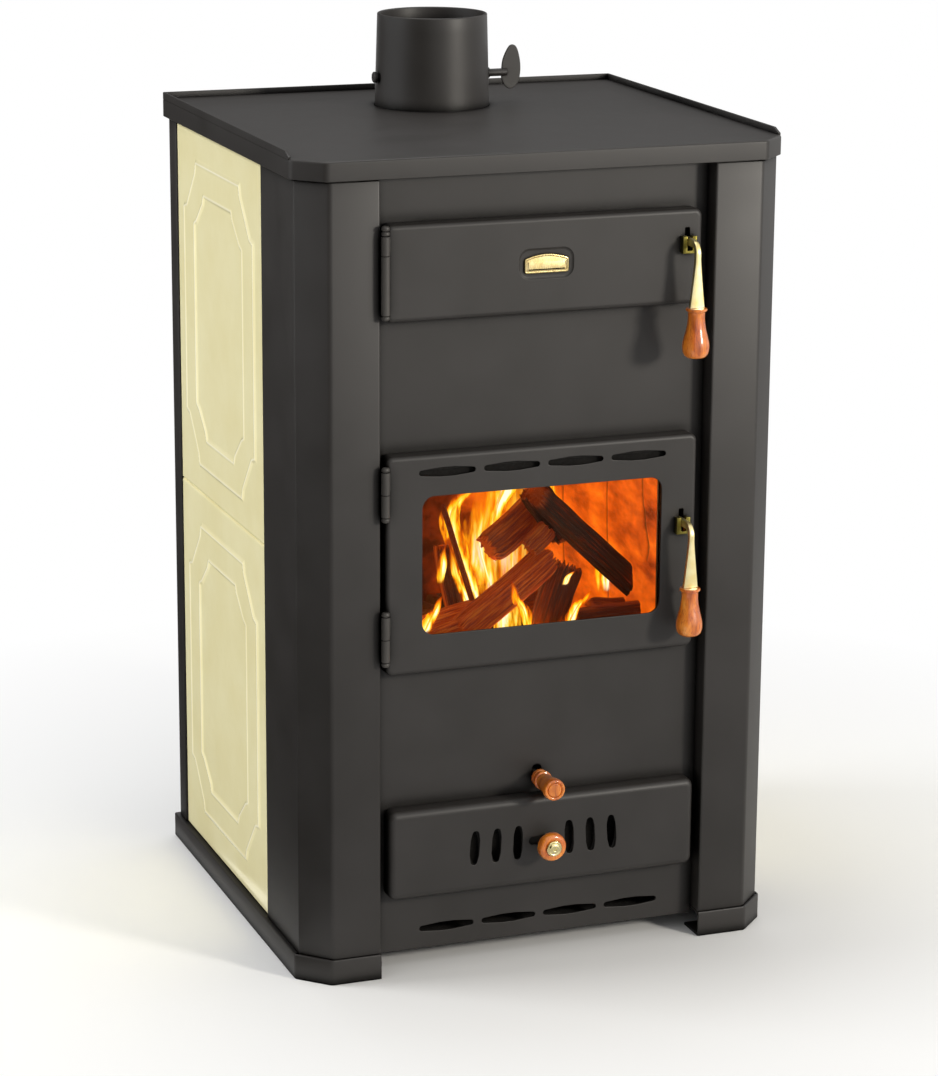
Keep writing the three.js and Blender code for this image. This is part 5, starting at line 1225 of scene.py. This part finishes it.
# A split log: a rounded, uneven section carried from end to end, with fibres drawn by its UV
def logShape(start, end, half, deep, roll, seed):
    long = np.linalg.norm(end - start)
    axis = (end - start) / long
    side = np.cross(axis, (0, 1, 0))
    side /= np.linalg.norm(side)
    around, along, count, blunt = (wood[key] for key in ("around", "along", "ridges", "blunt"))
    turn = np.linspace(0, 2 * np.pi, around, endpoint=False)[None, :]
    share = np.linspace(0, 1, along)[:, None]
    lean, toEnd = np.radians(roll), np.abs(2 * share - 1)
    size = (np.abs(np.cos(turn - lean)) ** blunt + np.abs(np.sin(turn - lean)) ** blunt) ** (-1 / blunt)
    ridges = np.random.RandomState(seed).uniform(-1, 1, count)
    fibres = np.interp((turn + 0.16 * np.sin(2.3 * share + seed)) % (2 * np.pi),
                       np.linspace(0, 2 * np.pi, count, endpoint=False), ridges, period=2 * np.pi)
    coarse = wavySum(turn * 25 * mm, share * long * 0.25, 60 * mm, seed)
    size = size * (1 + wood["lumpy"] * coarse + wood["fibrous"] * fibres)
    size = size * (1 - wood["ragged"] * toEnd ** 14 * (1 + fibres))
    u = half * (size * np.cos(turn) + wood["bent"] * np.sin(share * 3 + seed))
    v = deep * size * np.sin(turn)
    jag = wood["jag"] * wavySum(turn * 60 * mm, 0 * turn, 20 * mm, seed + 7) * toEnd ** 8
    points = start + (share * long + jag)[..., None] * axis + u[..., None] * side \
        + v[..., None] * np.cross(side, axis)
    uv = np.stack(np.broadcast_arrays(turn / (2 * np.pi), share * long / uvSize), -1).reshape(-1, 2)
    return (points.reshape(-1, 3), gridFaces(along, around) + endFaces(along, around)), uv


def makeLogs():
    for name, start, end, half, deep, roll, seed, glow, body, edge, ends in logs:
        shape, uv = logShape(throughWindow(*start), throughWindow(*end), half * mm, deep * mm, roll, seed)
        low = np.clip((wood["coldAbove"] - shape[0][:, 2]) / wood["coldBy"], 0, 1)
        heat = low * wood["hot"] + glow * wood["glow"]
        turn, share = 2 * np.pi * uv[:, 0], uv[:, 1] / uv[:, 1].max()
        rim = abs(edge) * np.clip(np.sign(edge) * np.cos(turn) * 3 - 1.8, 0, 1)
        cut = ends * np.clip(np.abs(2 * share - 1) * 12 - 11, 0, 1)
        fresh = np.maximum.reduce([np.full(len(uv), body), rim, cut])
        makePiece(f"fire_{name}", shape, look="firewood", sharp=70, uv=uv,
                  marks={"heat": heat, "fresh": fresh})


# The ember bed: a heap of lumps on the grate, higher behind, closed by a flat bottom
def makeEmbers():
    left, right, step = nodeBox("left_firebrick"), nodeBox("right_firebrick"), embers["step"]
    floor = nodeBox("fixed_grate")[1][2] + 0.6 * mm
    x0, x1 = left[1][0] + embers["gap"], right[0][0] - embers["gap"]
    y0, y1 = right[0][1] + embers["frontGap"], nodeBox("rear_firebrick")[0][1] - embers["gap"]
    rows, columns = int((x1 - x0) / step), int((y1 - y0) / step)
    u, v = np.meshgrid(np.linspace(x0, x1, rows), np.linspace(y0, y1, columns), indexing="ij")
    cells = np.random.RandomState(5).uniform(0, 1, (embers["lumps"], 3)) * [x1 - x0, y1 - y0, 1] + [x0, y0, 0]
    gaps = np.hypot(u[..., None] - cells[:, 0], v[..., None] - cells[:, 1])
    order = np.argsort(gaps, axis=-1)[..., :2]
    near, far = np.moveaxis(np.take_along_axis(gaps, order, -1), -1, 0)
    lump = np.clip((far - near) / embers["lumpEdge"], 0, 1) ** 0.5
    rise = embers["front"] + (1 - embers["front"]) * (v - y0) / (y1 - y0)
    near = np.minimum.reduce([u - x0, x1 - u, v - y0 + embers["frontLap"], y1 - v])
    edge = np.clip(near / embers["slope"], embers["rim"], 1)
    rough = embers["rough"] * (lump * (0.4 + cells[order[..., 0], 2]) - 0.4)
    tall = np.maximum(embers["height"] * rise * edge + rough, embers["least"])
    points = np.stack([u, v, floor + tall], -1).reshape(-1, 3)
    heat = embers["crackHeat"] + (embers["lumpHeat"] - embers["crackHeat"]) * lump.ravel()
    points, faces, heat = solidGrid(points, rows, [1, 1, 0], [0, 0, floor], heat, embers["backHeat"])
    makePiece("ember_bed", (points, faces), look="coals", uv=points[:, :2] / uvSize, sharp=60,
              marks={"heat": heat})


# A flame: a wavering sheet that narrows to its tip, and a second one turned across it
def makeFlames():
    across = np.linspace(-1, 1, 15)[None, :]
    for number, (name, line, widths, depth, strength) in enumerate(flames):
        centre = smoothLine(line, 10)
        middle = np.array([throughWindow(x, z, depth) for x, z in centre])[:, None, :]
        share = np.linspace(0, 1, len(centre))[:, None]
        half = smoothLine(np.stack([np.linspace(0, 1, len(widths)), widths], 1), 12)
        half = np.interp(share, half[:, 0], half[:, 1]) * mm
        sheets = []
        for sheet, (tilt, size) in enumerate(zip(blaze["tilts"], blaze["widths"])):
            ripple = blaze["ripple"] * half * np.sin(9 * share + number + 2 * sheet)
            u, bow = across * half * size + ripple * share, blaze["bow"] * across ** 2 * half * size
            points = middle + np.stack([u * np.cos(tilt) - bow * np.sin(tilt),
                                        u * np.sin(tilt) + bow * np.cos(tilt), 0 * u], -1)
            sheets.append((points, gridFaces(*u.shape, closedColumns=False)))
        uv = np.stack(np.broadcast_arrays((across + 1) / 2, share), -1).reshape(-1, 2)
        uv = np.concatenate([uv] * len(sheets))
        makePiece(f"flame_{name}", together(*sheets), look="flame", uv=uv, sharp=180,
                  marks={"power": np.full(len(uv), strength)})


makeSeal("top")
makeSeal("fire")
for node, (width, name, *look) in softEdges.items():
    softened(node, name, width * mm, look=look[0] if look else None)
makeBricks()
makeLogs()
makeEmbers()
makeFlames()
print("stage: boiler inside and fire made")

# Studio: a pale floor that runs out to white, a white room and soft lamps. A lamp has a place, a target, a
# size, a power and a tint. Cards are seen by mirror-like reflections only: they stand on a line from one
# height to another, or lie on the floor, and have a shade.
studio = {
    "floor": "#f7f7f6", "reach": 6.0, "roomLight": 0.52, "whiteFrom": 0.45, "whiteTo": 1.2, "weave": 40,
    "uneven": 0.1,
    "lamps": [
        ("key_lamp", (2.0, -3.0, 1.5), (0.0, -0.2, 0.5), 0.5, 76, "#fff9ee"),
        ("left_lamp", (-2.8, 0.8, 1.5), (-0.28, 0.0, 0.5), 1.4, 54, "#ffffff"),
        ("top_lamp", (0.1, 0.4, 3.1), (0.0, 0.0, 0.9), 1.4, 16, "#ffffff"),
        ("fire_lamp_1", (0.0, -0.02, 0.62), (0.0, -0.1, 0.4), 0.16, 0.5, "#ff8a30"),
        ("fire_lamp_2", (-0.06, 0.1, 0.5), (0, -0.12, 0.42), 0.12, 1.2, "#ff8a30"),
        ("fire_lamp_3", (0.02, -0.12, 0.345), (0, -0.05, 0.5), 0.08, 0.35, "#ff8a30")],
    "cards": [
        ("left_card", [(-0.9, -2.0), (-1.5, -1.4), (-1.7, -0.6), (-1.7, 1.3), (-0.3, 1.3)], 0.0, 2.2, 0.02),
        ("rear_card", [(-1.6, 1.5), (1.6, 1.5)], 1.05, 2.6, 0.22),
        ("side_floor_card", [(-1.7, -1.2), (-0.36, -0.6), (-0.3, 0.3), (-0.3, 1.3), (-1.7, 1.3)],
         1 * mm, 1 * mm, 0.02),
        ("front_floor_card", [(-1.5, -4), (1.8, -4), (1.8, -0.34), (-0.3, -0.34)], 2 * mm, 2 * mm, 0.52)],
}


def addStage(name, points, faces, material):
    mesh = bpy.data.meshes.new(name)
    mesh.from_pydata(points, [], faces)
    mesh.materials.append(material)
    sheet = addObject(name, mesh)
    return sheet


def clothSurface(add, shade):
    weave, uneven = grain(add, studio["weave"], 2), studio["uneven"]
    return add("Emission", {"Strength": add("MapRange", {0: weave, 1: 0.3, 2: 0.7, 3: (1 - uneven) * shade,
                                                         4: (1 + uneven) * shade})})


def floorSurface(add):
    far = add("VectorMath", {"operation": "LENGTH", 0: add("TexCoord", {})})
    away = add("MapRange", {0: far, 1: studio["whiteFrom"], 2: studio["whiteTo"]})
    camera = add("LightPath", {}).node.outputs["Is Camera Ray"]
    return add("MixShader", {0: add("Math", {**times, 0: away, 1: camera}),
                             1: add("BsdfDiffuse", {"Color": studio["floor"]}),
                             2: add("Emission", {"Strength": 1.0})})


def makeRoom():  # white to the camera, in mirrors and through glass, and dimmer as a light
    world = bpy.data.worlds.new("white_room")
    bpy.context.scene.world = world
    world.use_nodes = True
    world.node_tree.nodes.clear()
    add = partial(addNode, world.node_tree)
    path = add("LightPath", {}).node.outputs
    seen = path["Is Camera Ray"]
    for ray in ("Is Glossy Ray", "Is Transmission Ray"):
        seen = add("Math", {"operation": "MAXIMUM", 0: seen, 1: path[ray]})
    strength = add("MapRange", {"Value": seen, "To Min": studio["roomLight"], "To Max": 1.0})
    add("OutputWorld", {"Surface": add("Background", {"Color": "#ffffff", "Strength": strength})})


def makeStudio():
    makeRoom()
    reach = studio["reach"]
    addStage("studio_floor", [(-reach, -reach, 0), (reach, -reach, 0), (reach, reach, 0), (-reach, reach, 0)],
             [(0, 1, 2, 3)], makeMaterial("pale_studio_floor", floorSurface))
    for name, place, target, size, power, tint in studio["lamps"]:
        data = bpy.data.lights.new(name, "AREA")
        data.size, data.energy, data.color = size, power, colour(tint)[:3]
        lamp = addObject(name, data)
        lamp.location = place
        lamp.rotation_euler = (Vector(target) - Vector(place)).to_track_quat("-Z", "Y").to_euler()
        lamp.visible_camera = lamp.visible_transmission = False  # Unseen through the window too
    for name, line, bottom, top, shade in studio["cards"]:
        count = len(line)
        walls = [(i, i + 1, i + 1 + count, i + count) for i in range(count - 1)]
        card = addStage(name, [(x, y, z) for z in (bottom, top) for x, y in line],
                        walls if top > bottom else [tuple(range(count))],
                        makeMaterial(name + "_cloth", clothSurface, shade))
        card.visible_camera = card.visible_diffuse = card.visible_shadow = card.visible_transmission = False


makeStudio()
bpy.context.scene.view_settings.view_transform = "Standard"
print("stage: studio lit")
